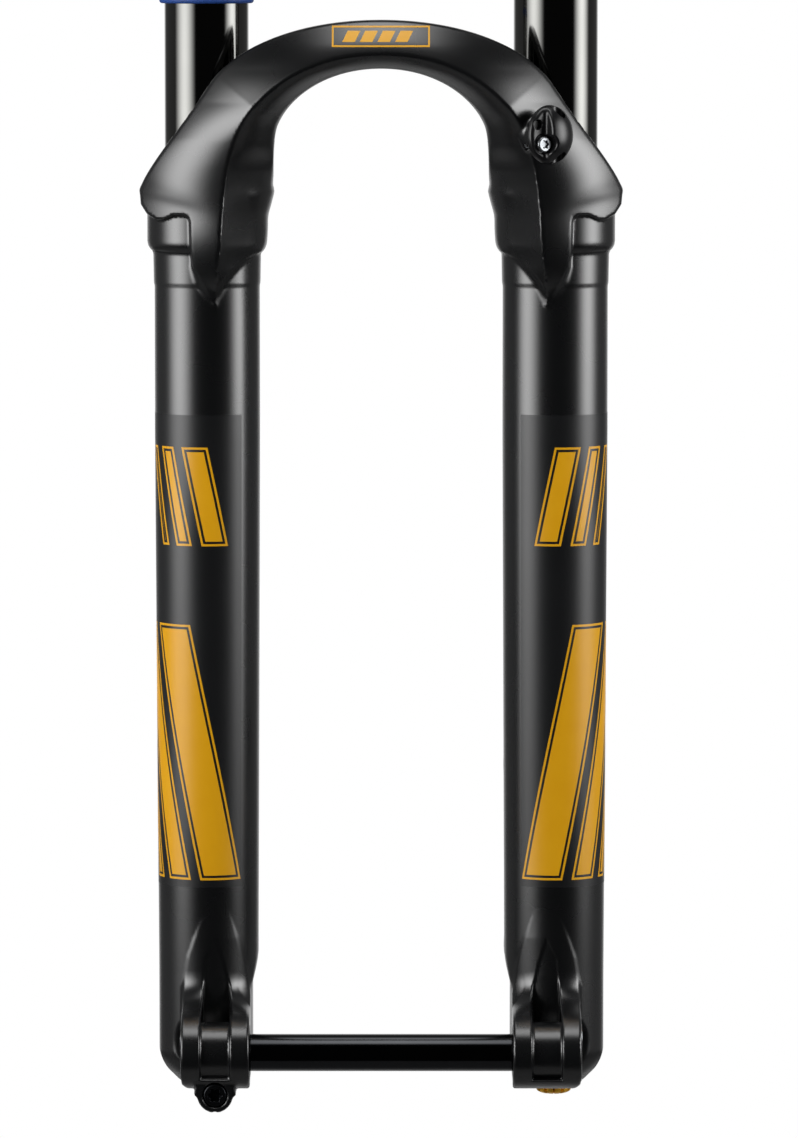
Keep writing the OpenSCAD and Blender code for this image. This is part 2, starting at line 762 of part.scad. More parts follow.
module crown() color(black_anodised) difference() {
    intersection() {
        translate([0, 0, socket_z - cut]) linear_extrude(crown_h + 2 * cut) crown_plan(0);
        translate([0, 2 * crown_boss_d, 0]) rotate([90, 0, 0]) linear_extrude(4 * crown_boss_d) crown_front();
    }
    // Pockets under the arms
    translate([0, 0, socket_z - cut]) linear_extrude(crown_h - crown_drop - 2 * crown_web + cut) difference() {
        crown_plan(crown_web);
        circle(d = crown_boss_d);
        for (side = [-1, 1]) translate([side * leg_x, leg_y]) circle(r = socket_r);
    }
    bar(race_seat_d / 2 - 1.4 + seat_gap, -crown_boss_h - cut, cut);
    for (side = [-1, 1]) on_leg(side) bar(stanchion_r + seat_gap, socket_z - cut, cut);
}

// Stanchions

module stanchion() {
    groove_z = stanchion_end_z + clip_lift;
    rotate_extrude() difference() {
        polygon([
            [tube_r, stanchion_end_z], [stanchion_r - 1.2, stanchion_end_z], [stanchion_r, stanchion_end_z + 2.4],
            [stanchion_r, stanchion_top_z], [tube_r, stanchion_top_z]
        ]);
        translate([tube_r - cut, groove_z]) square([clip_r + seat_gap - tube_r + cut, clip_h]);
    }
}

module air_stanchion() color(black_anodised) on_leg(-1) stanchion();
module damper_stanchion() color(black_anodised) on_leg(1) stanchion();

// Top caps: a thread in the stanchion and a notched flange on the crown
cap_notches = 8;
module top_cap(hole_r) {
    difference() {
        union() {
            bar(tube_r - seat_gap, cap_bottom_z, stanchion_top_z);
            soft_disc(cap_d / 2, stanchion_top_z, cap_top_z, 0.8);
        }
        bar(hole_r, cap_bottom_z - cut, cap_top_z + cut);
        for (k = [0 : cap_notches - 1]) rotate(k * 360 / cap_notches)
            translate([cap_d / 2, 0, 0]) bar(2, stanchion_top_z + cap_h / 4, cap_top_z + cut);
    }
}

module air_top_cap() color(black_anodised) on_leg(-1) top_cap(valve_d / 2 + seat_gap);

adjuster_hole_r = 3;
module damper_top_cap() color(black_anodised) on_leg(1) top_cap(adjuster_hole_r + run_gap);

// Air spring in the air leg

valve_rise = 7;
module air_valve() color(bare_alloy) on_leg(-1) difference() {
    bar(valve_d / 2, cap_bottom_z, cap_top_z + valve_rise);
    bar(valve_d / 2 - 1.2, cap_bottom_z + 4, cap_top_z + valve_rise + cut);
}

module air_valve_cap() color(blue) on_leg(-1) difference() {
    soft_disc(valve_d / 2 + 2.6, cap_top_z, cap_top_z + valve_rise + 3, 1);
    bar(valve_d / 2 + seat_gap, cap_top_z - cut, cap_top_z + valve_rise);
    for (k = [0 : knob_flutes - 1]) rotate(k * 360 / knob_flutes)
        translate([valve_d / 2 + 3.2, 0, 0]) bar(1, cap_top_z - cut, cap_top_z + valve_rise);
}

spacer_r = tube_r - 1.5;
module volume_spacers() color(spacer_grey) on_leg(-1) for (k = [0 : spacer_count - 1])
    sleeve(spacer_r, valve_d / 2 + 2, cap_bottom_z - (k + 1) * spacer_h + seat_gap, cap_bottom_z - k * spacer_h);

module bottom_out_bumper() color(rubber) on_leg(-1) {
    top = cap_bottom_z - spacer_count * spacer_h;
    rotate_extrude() polygon([
        [valve_d / 2 + 2, top], [spacer_r - 1, top], [spacer_r - 4, top - bottom_bumper_h],
        [valve_d / 2 + 2, top - bottom_bumper_h]
    ]);
}

module retaining_ring() {
    difference() {
        sleeve(clip_r, tube_r - 3, seal_head_z - clip_h, seal_head_z);
        translate([0, -2, seal_head_z - clip_h - cut]) cube([stanchion_d, 4, clip_h + 2 * cut]);
    }
}

module air_retaining_ring() color(steel) on_leg(-1) retaining_ring();
module damper_retaining_ring() color(steel) on_leg(1) retaining_ring();

module air_seal_head() color(bare_alloy) on_leg(-1)
    sleeve(tube_r - seat_gap, air_shaft_d / 2 + run_gap, seal_head_z, seal_head_z + seal_head_h);

// Shaft standing on the foot, with a flange on the floor and a thread for the foot bolt
module leg_shaft(r, bore, top) {
    difference() {
        union() {
            bar(r, floor_z, top);
            bar(shaft_flange_r, floor_z, floor_z + shaft_flange_h);
        }
        bar(bore, floor_z - cut, top + cut);
        bar(foot_thread_r + seat_gap, floor_z - cut, floor_z + foot_thread_h);
    }
}

air_shaft_bore_r = air_shaft_d / 2 - 1.5;
module air_shaft() color(bare_alloy) on_leg(-1)
    leg_shaft(air_shaft_d / 2, air_shaft_bore_r, air_piston_z + air_piston_h - 3);

ring_groove_h = 4;
ring_groove_depth = 2.4;
module air_piston() color(bare_alloy) on_leg(-1) {
    r = tube_r - run_gap;
    mid = air_piston_z + air_piston_h / 2;
    top = air_piston_z + air_piston_h;
    groove = r - ring_groove_depth;
    rotate_extrude() polygon([
        [air_shaft_d / 2 + seat_gap, air_piston_z], [r, air_piston_z], [r, mid - ring_groove_h / 2],
        [groove, mid - ring_groove_h / 2], [groove, mid + ring_groove_h / 2], [r, mid + ring_groove_h / 2],
        [r, top], [0, top], [0, top - 3], [air_shaft_d / 2 + seat_gap, top - 3]
    ]);
}

module air_piston_ring() color(rubber) on_leg(-1) {
    mid = air_piston_z + air_piston_h / 2;
    half = ring_groove_h / 2 - seat_gap;
    sleeve(tube_r - run_gap / 2, tube_r - run_gap - ring_groove_depth + seat_gap, mid - half, mid + half);
}

module top_out_bumper() color(rubber) on_leg(-1)
    sleeve(tube_r - 3.5, air_shaft_d / 2 + seat_gap, bumper_z + turn_gap, air_piston_z);

module foot_bolt() {
    difference() {
        union() {
            bar(foot_thread_r, foot_z, floor_z + foot_thread_h - 2);
            bar(foot_head_r, foot_z - washer_h - foot_head_h, foot_z - washer_h);
            bar(foot_thread_r, foot_z - washer_h, foot_z);
        }
        children();
    }
}

module air_foot_bolt() color(black_anodised) on_leg(-1) foot_bolt() {
    translate([0, 0, foot_z - washer_h - foot_head_h - cut])
        cylinder(r = foot_head_r * 0.52, h = foot_head_h + cut, $fn = 6);
}

module crush_washers() color(bare_alloy) for (side = [-1, 1]) on_leg(side)
    sleeve(washer_r, foot_thread_r + seat_gap, foot_z - washer_h, foot_z);

// Damper in the damper leg

module damper_outer_tube() color(bare_alloy) on_leg(1)
    sleeve(damper_tube_d / 2, outer_in_r, bumper_z, cap_bottom_z);

module damper_inner_tube() color(bare_alloy) on_leg(1)
    sleeve(damper_inner_d / 2, inner_in_r, bumper_z, base_valve_z);

module damper_seal_head() color(bare_alloy) on_leg(1) difference() {
    union() {
        bar(tube_r - seat_gap, seal_head_z, bumper_z);
        bar(inner_in_r - seat_gap, seal_head_z, bumper_z + tube_plug_h);
    }
    bar(shaft_r + run_gap, seal_head_z - cut, bumper_z + tube_plug_h + cut);
}

// Compression valve: plug in the inner tube and a hollow stem up to the top cap
base_stem_r = 4.5;
base_valve_h = 14;
module base_valve() color(bare_alloy) on_leg(1) difference() {
    union() {
        bar(inner_in_r - seat_gap, base_valve_z - tube_plug_h, base_valve_z);
        bar(damper_inner_d / 2, base_valve_z, base_valve_z + base_valve_h);
        bar(base_stem_r, base_valve_z, cap_bottom_z);
    }
    bar(adjuster_hole_r + run_gap, base_valve_z - tube_plug_h + 3, cap_bottom_z + cut);
    // Flow ports
    for (k = [0 : 5]) rotate(k * 60) translate([inner_in_r * 0.7, 0, 0])
        bar(1, base_valve_z - tube_plug_h - cut, base_valve_z + base_valve_h + cut);
}

// Rubber bladder round the stem, necked onto it at both ends
module damper_bladder() color(rubber) on_leg(1) {
    z0 = base_valve_z + base_valve_h;
    z1 = cap_bottom_z;
    neck = base_stem_r + 1.4;
    wide = outer_in_r - 1;
    rotate_extrude() polygon([
        [base_stem_r + seat_gap, z0], [neck, z0], [neck, z0 + 4], [wide, z0 + 10], [wide, z1 - 10],
        [neck, z1 - 4], [neck, z1], [base_stem_r + seat_gap, z1], [base_stem_r + seat_gap, z1 - 5],
        [wide - 1.4, z1 - 11], [wide - 1.4, z0 + 11], [base_stem_r + seat_gap, z0 + 5]
    ]);
}

module damper_shaft() color(bare_alloy) on_leg(1)
    leg_shaft(shaft_r, rod_r + run_gap, damper_piston_z + damper_piston_h - 2);

module damper_piston() color(bronze) on_leg(1) {
    r = inner_in_r - run_gap;
    top = damper_piston_z + damper_piston_h;
    mid = damper_piston_z + damper_piston_h / 2;
    difference() {
        rotate_extrude() polygon([
            [shaft_r + seat_gap, damper_piston_z], [r, damper_piston_z], [r, mid - 2.5], [r - 1, mid - 2.5],
            [r - 1, mid + 2.5], [r, mid + 2.5], [r, top], [rod_r + run_gap, top], [rod_r + run_gap, top - 2],
            [shaft_r + seat_gap, top - 2]
        ]);
        for (k = [0 : 5]) rotate(k * 60) translate([(shaft_r + r) / 2 - 0.2, 0, 0])
            bar(0.8, damper_piston_z - cut, top + cut);
    }
}

module damper_piston_band() color(bronze) on_leg(1) {
    mid = damper_piston_z + damper_piston_h / 2;
    sleeve(inner_in_r - run_gap / 2, inner_in_r - run_gap - 1 + seat_gap, mid - 2.4, mid + 2.4);
}

module damper_foot_bolt() color(black_anodised) on_leg(1) foot_bolt()
    bar(rod_r + run_gap, foot_z - washer_h - foot_head_h - cut, floor_z + foot_thread_h);

// Rebound adjuster under the damper leg
knob_top_z = foot_z - washer_h - turn_gap;
knob_web_z = foot_z - washer_h - foot_head_h - turn_gap;
knob_base_z = knob_top_z - rebound_knob_h;
rod_end_z = (knob_web_z + knob_base_z) / 2;
module rebound_knob() color(gold) on_leg(1) difference() {
    r = rebound_knob_d / 2;
    rotate_extrude() polygon([
        [0, knob_base_z], [r - 2.4, knob_base_z + 0.2], [r - 0.8, knob_base_z + 1], [r, knob_base_z + 2],
        [r, knob_top_z - 0.4], [r - 0.4, knob_top_z], [0, knob_top_z]
    ]);
    bar(foot_head_r + turn_gap, knob_web_z, knob_top_z + cut);
    bar(rod_r + seat_gap, rod_end_z, knob_top_z);
    for (k = [0 : knob_flutes - 1]) rotate(k * 360 / knob_flutes)
        translate([rebound_knob_d / 2 + 0.5, 0, 0]) bar(1.1, knob_base_z - cut, knob_top_z + cut);
}

module rebound_rod() color(steel) on_leg(1)
    bar(rod_r, rod_end_z, damper_piston_z + damper_piston_h);

// Compression adjusters on the damper top cap
lever_h = 4.5;
lever_reach = 17;
lever_tab_w = 7;
module compression_lever() color(black_anodised) on_leg(1) difference() {
    union() {
        soft_disc(lever_d / 2, cap_top_z + turn_gap, cap_top_z + turn_gap + lever_h, 0.8);
        translate([-lever_tab_w / 2, -lever_reach, cap_top_z + turn_gap])
            cube([lever_tab_w, lever_reach, lever_h - 1]);
        translate([0, -lever_reach, 0])
            bar(lever_tab_w / 2, cap_top_z + turn_gap, cap_top_z + turn_gap + lever_h - 1);
    }
    bar(adjuster_hole_r + run_gap, cap_top_z, cap_top_z + lever_h + 1);
}

knob_seat_z = cap_top_z + 2 * turn_gap + lever_h;
compression_knob_h = 6;
module compression_knob() color(blue) on_leg(1) difference() {
    soft_disc(compression_knob_d / 2, knob_seat_z, knob_seat_z + compression_knob_h, 1);
    bar(adjuster_hole_r + seat_gap, knob_seat_z - cut, knob_seat_z + compression_knob_h - 2);
    for (k = [0 : knob_flutes - 1]) rotate(k * 360 / knob_flutes)
        translate([compression_knob_d / 2 + 0.5, 0, 0])
            bar(1.2, knob_seat_z - cut, knob_seat_z + compression_knob_h + cut);
}

module compression_needle() color(steel) on_leg(1)
    bar(adjuster_hole_r, base_valve_z - tube_plug_h + 3 + turn_gap, knob_seat_z + compression_knob_h - 2);

// Seals, foam rings and bushings in the tops of the lower legs

module wiper_seal() {
    lip = stanchion_r + run_gap;
    rotate_extrude() polygon([
        [lip + 0.4, foam_z], [seal_d / 2 - seat_gap, foam_z], [seal_d / 2 - seat_gap, collar_z],
        [seal_d / 2 - 1, collar_z + 0.6], [lip + 2.6, seal_top_z - 0.8], [lip + 0.8, seal_top_z],
        [lip, seal_top_z - 1], [lip, foam_z + 2]
    ]);
}

module air_wiper_seal() color(rubber) on_leg(-1) wiper_seal();
module damper_wiper_seal() color(rubber) on_leg(1) wiper_seal();

module foam_ring() sleeve(foam_d / 2 - seat_gap, stanchion_r + run_gap, foam_z - foam_h, foam_z);
module air_foam_ring() color(foam) on_leg(-1) foam_ring();
module damper_foam_ring() color(foam) on_leg(1) foam_ring();

module bushing(z) sleeve(bushing_d / 2 - seat_gap, stanchion_r + run_gap, z, z + bushing_h);
module air_upper_bushing() color(bronze) on_leg(-1) bushing(upper_bushing_z);
module air_lower_bushing() color(bronze) on_leg(-1) bushing(lower_bushing_z);
module damper_upper_bushing() color(bronze) on_leg(1) bushing(upper_bushing_z);
module damper_lower_bushing() color(bronze) on_leg(1) bushing(lower_bushing_z);

// Axle, sleeves and pinch bolt

// Split sleeve that the pinch clamp closes on the axle
module axle_collet() color(bare_alloy) on_leg(-1) difference() {
    axle_bar(sleeve_r, drop_out, drop_in - hub_seat_depth);
    axle_bar(axle_r + run_gap, drop_out - cut, drop_in);
    translate([drop_out - cut, drop_y - pinch_slit / 2, axle_z - sleeve_r - cut])
        cube([dropout_w + 2 * cut, pinch_slit, sleeve_r]);
}

// Threaded insert that the axle screws into
module axle_nut() color(bare_alloy) on_leg(1) difference() {
    union() {
        axle_bar(sleeve_r, drop_out, drop_in - hub_seat_depth);
        axle_bar(nut_flange_r, drop_out, drop_out + nut_flange_h);
    }
    axle_bar(axle_r + run_gap, drop_out - cut, drop_in);
}

axle_socket_r = 6.2;
module thru_axle() color(black_anodised) on_leg(-1) difference() {
    axle_bar(axle_r, drop_out, leg_spacing - drop_out);
    axle_bar(axle_bore_d / 2, drop_out - cut, leg_spacing - drop_out + cut);
    // Hexagon socket for the axle key
    translate([drop_out - cut, drop_y, axle_z]) rotate([0, 90, 0]) cylinder(r = axle_socket_r, h = 9, $fn = 6);
}

module pinch_bolt() color(black_anodised) on_leg(-1)
    translate([drop_mid, pinch_front, pinch_z]) rotate([-90, 0, 0]) difference() {
        union() {
            cylinder(r = pinch_head_r, h = pinch_head_h);
            cylinder(d = pinch_bolt_d, h = pinch_back - pinch_front - 1);
        }
        translate([0, 0, -cut]) cylinder(r = pinch_head_r * 0.55, h = pinch_head_h - 1 + cut, $fn = 6);
    }

// Hose guide on the damper side of the arch

guide_dome_r = 15;
guide_dome_h = 8;
module hose_guide() color(plastic) guide_frame() difference() {
    intersection() {
        cylinder(d = guide_d, h = guide_dome_h + cut);
        translate([1.5, 0, guide_dome_h - guide_dome_r]) sphere(r = guide_dome_r);
    }
    // Step down to the bolt and the eye
    translate([-guide_d - 0.4, -guide_d, guide_base_h - guide_head_h + 0.6]) cube([guide_d, 2 * guide_d, guide_d]);
    translate([hose_at.x, guide_d, hose_at.y]) rotate([90, 0, 0]) cylinder(d = hose_d, h = 2 * guide_d);
    translate([guide_bolt_at.x, guide_bolt_at.y, -cut]) {
        cylinder(r = guide_bolt_r + seat_gap, h = guide_base_h + 2 * cut);
        translate([0, 0, cut + guide_base_h - guide_head_h]) cylinder(r = guide_head_r + 0.2, h = guide_d);
    }
    // Moulded eye above the bolt
    translate([guide_bolt_at.x - 2, -guide_bolt_at.y + 0.8, guide_base_h - 2]) cylinder(r = 1.6, h = guide_d);
}

module hose_guide_bolt() color(steel) guide_frame() translate([guide_bolt_at.x, guide_bolt_at.y, 0])
    difference() {
        union() {
            translate([0, 0, 1 - guide_bolt_depth])
                cylinder(r = guide_bolt_r, h = guide_bolt_depth + guide_base_h - guide_head_h);
            translate([0, 0, guide_base_h - guide_head_h]) cylinder(r = guide_head_r, h = guide_head_h);
        }
        translate([0, 0, guide_base_h - guide_head_h + 0.6])
            cylinder(r = guide_head_r * 0.5, h = guide_head_h, $fn = 6);
    }

// Rubber ring that the seal pushes up the stanchion to show the travel used
module sag_ring() color(blue) on_leg(-1) translate([0, 0, seal_top_z + sag_ring_rise])
    rotate_extrude() difference() {
        translate([stanchion_r + sag_ring_d / 2 - 0.3, 0]) circle(d = sag_ring_d);
        square([2 * (stanchion_r + run_gap), 2 * sag_ring_d], center = true);
    }

steerer_tube();
crown();
air_stanchion();
damper_stanchion();
air_top_cap();
air_valve();
air_valve_cap();
volume_spacers();
bottom_out_bumper();
air_seal_head();
air_retaining_ring();
damper_top_cap();
damper_outer_tube();
damper_inner_tube();
base_valve();
damper_bladder();
damper_seal_head();
damper_retaining_ring();
lower_casting();
air_wiper_seal();
damper_wiper_seal();
air_foam_ring();
damper_foam_ring();
air_upper_bushing();
air_lower_bushing();
damper_upper_bushing();
damper_lower_bushing();
air_shaft();
air_piston();
air_piston_ring();
top_out_bumper();
air_foot_bolt();
damper_shaft();
damper_piston();
damper_piston_band();
damper_foot_bolt();
crush_washers();
hose_guide();
hose_guide_bolt();
pinch_bolt();
axle_collet();
axle_nut();
thru_axle();
rebound_knob();
rebound_rod();
compression_knob();
compression_needle();
compression_lever();
sag_ring();
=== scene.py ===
import json
import math

import bpy
import numpy as np
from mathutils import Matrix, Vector


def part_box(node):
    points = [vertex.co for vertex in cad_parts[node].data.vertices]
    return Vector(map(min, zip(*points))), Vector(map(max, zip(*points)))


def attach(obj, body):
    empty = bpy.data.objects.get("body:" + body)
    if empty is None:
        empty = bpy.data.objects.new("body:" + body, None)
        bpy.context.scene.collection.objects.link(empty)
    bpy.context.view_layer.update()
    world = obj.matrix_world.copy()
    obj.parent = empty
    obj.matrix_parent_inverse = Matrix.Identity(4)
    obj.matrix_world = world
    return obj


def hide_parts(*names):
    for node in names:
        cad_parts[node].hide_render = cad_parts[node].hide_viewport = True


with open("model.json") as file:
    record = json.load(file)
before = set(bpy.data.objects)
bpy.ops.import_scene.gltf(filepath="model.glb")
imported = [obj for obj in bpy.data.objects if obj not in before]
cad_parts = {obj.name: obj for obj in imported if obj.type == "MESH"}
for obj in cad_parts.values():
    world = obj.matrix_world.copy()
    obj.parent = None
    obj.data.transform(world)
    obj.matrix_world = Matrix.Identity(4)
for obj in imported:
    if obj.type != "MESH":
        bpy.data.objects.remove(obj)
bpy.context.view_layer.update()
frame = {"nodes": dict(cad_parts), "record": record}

bl_info = {
    "name": "Suspension fork looks",
    "version": (1, 0, 0),
    "blender": (4, 5, 0),
    "location": "View3D > Sidebar > Fork",
    "description": "Dresses the packed suspension fork: cast lowers, decals, coated tubes and adjusters",
    "category": "Object",
}

MM = 0.001


def box_mm(node):
    """Lowest and highest corner of a CAD node in millimetres."""
    low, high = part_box(node)
    return np.array(low) / MM, np.array(high) / MM


def middle_mm(node):
    """Centre of a CAD node's box in millimetres."""
    low, high = box_mm(node)
    return (low + high) / 2


# Places taken from the frame, in millimetres. A leg's own frame has its origin on the
# leg axis, x pointing inboard and y backwards. Side -1 is the air leg, +1 the damper leg.
LEG_X, LEG_Y = middle_mm("damper_stanchion")[:2]
STANCHION_LOW, STANCHION_HIGH = box_mm("damper_stanchion")
STANCHION_R = (STANCHION_HIGH - STANCHION_LOW)[0] / 2
SEAL_TOP = box_mm("air_wiper_seal")[1][2]
SEAL_LOW = box_mm("air_wiper_seal")[0][2]
SEAL_R = (box_mm("air_wiper_seal")[1] - box_mm("air_wiper_seal")[0])[0] / 2
SEAL_LIP = 3.0
COLLAR_Z = SEAL_TOP - SEAL_LIP
AXLE_Y, AXLE_Z = middle_mm("thru_axle")[1:]
AXLE_R = (box_mm("thru_axle")[1] - box_mm("thru_axle")[0])[2] / 2
DROP_Y = AXLE_Y - LEG_Y
FOOT_Z = box_mm("crush_washers")[1][2]
FLOOR_Z = box_mm("air_shaft")[0][2]
MOUNTS = {m["name"]: m for m in frame["record"]["mounts"]}
SIDES = {"air": -1, "damper": 1}


# Colour


def linear(code):
    """Linear RGBA of an sRGB hex colour."""
    c = np.array([int(code[i:i + 2], 16) for i in (1, 3, 5)]) / 255
    c = np.where(c <= 0.04045, c / 12.92, ((c + 0.055) / 1.055) ** 2.4)
    return (*c.tolist(), 1.0)


# Distance fields. Lengths in millimetres, negative inside.


def both(a, b, r):
    """Where two fields overlap: the larger of the two, with the edge rounded to radius r."""
    return np.minimum(np.maximum(a, b), -r) + np.hypot(np.maximum(a + r, 0), np.maximum(b + r, 0))


def either(a, b, r):
    """Two fields joined: the smaller of the two, with the inner corner filled to radius r."""
    return -both(-a, -b, r)


def less(a, b, r):
    """Field a with b cut away, the new edge rounded to radius r."""
    return both(a, -b, r)


def slab(u, low, high):
    """Distance to the space between two planes."""
    return np.abs(u - (low + high) / 2) - (high - low) / 2


def outline(u, v, points):
    """Signed distance to a closed outline: the least distance to any of its edges,
    negative where a ray from the point crosses the outline an odd number of times."""
    p = np.asarray(points, float)
    best = np.full(np.broadcast(u, v).shape, 1e9)
    inside = np.zeros(best.shape, bool)
    for a, b in zip(p, np.roll(p, -1, axis=0)):
        e = b - a
        t = np.clip(((u - a[0]) * e[0] + (v - a[1]) * e[1]) / (e @ e), 0, 1)
        best = np.minimum(best, np.hypot(u - a[0] - t * e[0], v - a[1] - t * e[1]))
        if e[1]:
            inside ^= ((v < a[1]) != (v < b[1])) & (u < a[0] + (v - a[1]) * e[0] / e[1])
    return np.where(inside, -best, best)


# Meshes


def level_surface(field, low, high, step):
    """Zero surface of a distance field, for cast and moulded pieces whose fillets no single
    two-parameter sheet gives. Each grid cube that the surface passes through gets one vertex,
    at the mean of the crossings on its edges, and each crossed grid edge gets one quad.
    Newton steps along the gradient then settle the vertices on the surface, and the gradient
    there gives their normals."""
    axes = [np.arange(a, b + step, step) for a, b in zip(low, high)]
    values = field(*np.meshgrid(*axes, indexing="ij", sparse=True))
    values = np.ascontiguousarray(np.broadcast_to(values, [len(a) for a in axes]))
    shape = np.array(values.shape) - 1
    size = int(shape.prod())
    total, count = np.zeros((size, 3)), np.zeros(size)
    quads = []
    for axis in range(3):
        first = np.take(values, range(shape[axis]), axis=axis)
        second = np.take(values, range(1, shape[axis] + 1), axis=axis)
        at = np.argwhere((first < 0) != (second < 0))
        a, b = first[tuple(at.T)], second[tuple(at.T)]
        crossing = at.astype(float)
        crossing[:, axis] += a / (a - b)
        across = [np.roll(np.eye(3, dtype=int)[axis], k) for k in (1, 2)]
        corners = []
        for s, t in ((0, 0), (1, 0), (1, 1), (0, 1)):
            cell = at - s * across[0] - t * across[1]
            index = np.ravel_multi_index(np.clip(cell, 0, shape - 1).T, shape)
            total += np.stack([np.bincount(index, crossing[:, k], size) for k in range(3)], axis=1)
            count += np.bincount(index, minlength=size)
            corners.append(index)
        corners = np.stack(corners, axis=1)
        quads.append(np.where((a < 0)[:, None], corners, corners[:, ::-1]))
    used = np.flatnonzero(count)
    number = np.zeros(size, int)
    number[used] = np.arange(len(used))
    points = np.array(low) + step * total[used] / count[used][:, None]

    def slope(at, probe):
        """Gradient of the field from two probes along each axis."""
        rise = [field(*(at + probe * e).T) - field(*(at - probe * e).T) for e in np.eye(3)]
        return np.stack(rise, axis=1) / (2 * probe)

    for _ in range(3):
        f, way = field(*points.T), slope(points, step / 8)
        move = -f[:, None] * way / np.maximum((way ** 2).sum(1, keepdims=True), 0.05)
        length = np.linalg.norm(move, axis=1, keepdims=True)
        points = points + move * np.minimum(1, step / 2 / np.maximum(length, 1e-9))
    normals = slope(points, step / 2)
    normals /= np.maximum(np.linalg.norm(normals, axis=1, keepdims=True), 1e-9)
    return points, number[np.concatenate(quads)], normals


def grid_faces(rows, columns, wrap_rows=False, wrap_columns=False):
    """Quads of a grid of points numbered row by row, closed round where it wraps."""
    i = np.arange(rows if wrap_rows else rows - 1)[:, None]
    j = np.arange(columns if wrap_columns else columns - 1)[None, :]
    i2, j2 = (i + 1) % rows, (j + 1) % columns
    corners = [i * columns + j, i * columns + j2, i2 * columns + j2, i2 * columns + j]
    return np.stack(np.broadcast_arrays(*corners), -1).reshape(-1, 4)


def rounded(points, radius, steps=4):
    """Outline whose corners are replaced by short parabolas that leave and meet the edges
    a set distance from the corner, at most 0.45 of the edge."""
    p = np.asarray(points, float)
    pieces = []
    back, ahead = np.roll(p, 1, axis=0) - p, np.roll(p, -1, axis=0) - p
    for side in (back, ahead):
        reach = np.linalg.norm(side, axis=1, keepdims=True)
        pieces.append(p + side * np.minimum(radius / reach, 0.45))
    t = np.linspace(0, 1, steps + 1)[None, :, None]
    a, b = (q[:, None, :] for q in pieces)
    return ((1 - t) ** 2 * a + 2 * t * (1 - t) * p[:, None, :] + t * t * b).reshape(-1, 2)


def lathe(profile, steps=96):
    """Closed profile of radius and height carried round the z axis: the point at angle a is
    (r cos a, r sin a, z). A profile that runs anticlockwise faces outwards."""
    p = np.asarray(profile, float)
    a = np.arange(steps)[:, None] * 2 * np.pi / steps
    points = np.stack([p[:, 0] * np.cos(a), p[:, 0] * np.sin(a), p[:, 1] + 0 * a], axis=-1)
    return points.reshape(-1, 3), grid_faces(steps, len(p), wrap_rows=True, wrap_columns=True)[:, ::-1]


def fluted(profile, count, depth, steps=240):
    """A lathe surface whose radius falls by depth in evenly spaced grooves: beyond 0.6 of the
    widest radius R, the radius is scaled by 1 - depth / R * c, where c is the positive part of
    cos(count a) to the power 3."""
    points, faces = lathe(profile, steps)
    angle = np.arctan2(points[:, 1], points[:, 0])
    groove = np.maximum(np.cos(count * angle), 0) ** 3
    reach = np.max(np.asarray(profile)[:, 0])
    radius = np.hypot(points[:, 0], points[:, 1])
    share = np.where(radius > 0.6 * reach, 1 - depth / reach * groove, 1)
    return points * np.stack([share, share, np.ones_like(share)], axis=1), faces


def put_on_leg(points, side):
    """Moves points from a leg's axis to its place: z stays, x and y are added."""
    return points + np.array([side * LEG_X, LEG_Y, 0])


def turned_on_leg(profile, side, steps):
    """A lathe surface round the axis of a leg."""
    points, faces = lathe(profile, steps)
    return put_on_leg(points, side), faces


def lay_along_x(points):
    """Turns a z axis to x and moves it to the wheel axle."""
    return np.stack([points[:, 2], AXLE_Y + points[:, 1], AXLE_Z - points[:, 0]], axis=1)


def make_piece(name, surface, body, slot, nodes=(), finish=None, crease=None):
    """Puts a surface's points, faces and normals, where it has them, into a mesh as whole arrays,
    shades it and hands it to its body. The finish is the slot's own unless another is named."""
    points, faces, *normals = surface
    mesh = bpy.data.meshes.new(name)
    mesh.vertices.add(len(points))
    mesh.vertices.foreach_set("co", (np.asarray(points) * MM).astype(np.float32).ravel())
    mesh.loops.add(faces.size)
    mesh.loops.foreach_set("vertex_index", faces.astype(np.int32).ravel())
    mesh.polygons.add(len(faces))
    mesh.polygons.foreach_set("loop_start", (np.arange(len(faces)) * faces.shape[1]).astype(np.int32))
    mesh.polygons.foreach_set("use_smooth", np.ones(len(faces), bool))
    mesh.update(calc_edges=True)
    mesh.validate()
    if crease is not None:
        mesh.set_sharp_from_angle(angle=math.radians(crease))
    if normals:
        mesh.normals_split_custom_set_from_vertices(normals[0].tolist())
    mesh.materials.append(material_of(finish or slot))
    piece = bpy.data.objects.new(name, mesh)
    bpy.context.scene.collection.objects.link(piece)
    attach(piece, body)
    if nodes:
        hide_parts(*nodes)


# Materials


def add(tree, kind, settings=None, **sockets):
    """Adds one node, sets its own settings, and sets or links the sockets that are named."""
    node = tree.nodes.new(kind)
    for key, value in (settings or {}).items():
        setattr(node, key, value)
    for key, value in sockets.items():
        socket = node.inputs[int(key[1:])] if key[1:].isdigit() else node.inputs[key.replace("_", " ")]
        if isinstance(value, bpy.types.NodeSocket):
            tree.links.new(value, socket)
        else:
            socket.default_value = value
    return node


def per_mm(size):
    """Scale of a texture on object coordinates, in metres, whose features measure size mm."""
    return 1 / (size * MM)


def shaded(name, **sockets):
    """A new material with one Principled shader: the material, its tree, shader and coordinates."""
    material = bpy.data.materials.new(name)
    material.use_nodes = True
    tree = material.node_tree
    tree.nodes.clear()
    place = add(tree, "ShaderNodeTexCoord").outputs["Object"]
    shader = add(tree, "ShaderNodeBsdfPrincipled", **sockets)
    add(tree, "ShaderNodeOutputMaterial", Surface=shader.outputs[0])
    return material, tree, shader, place


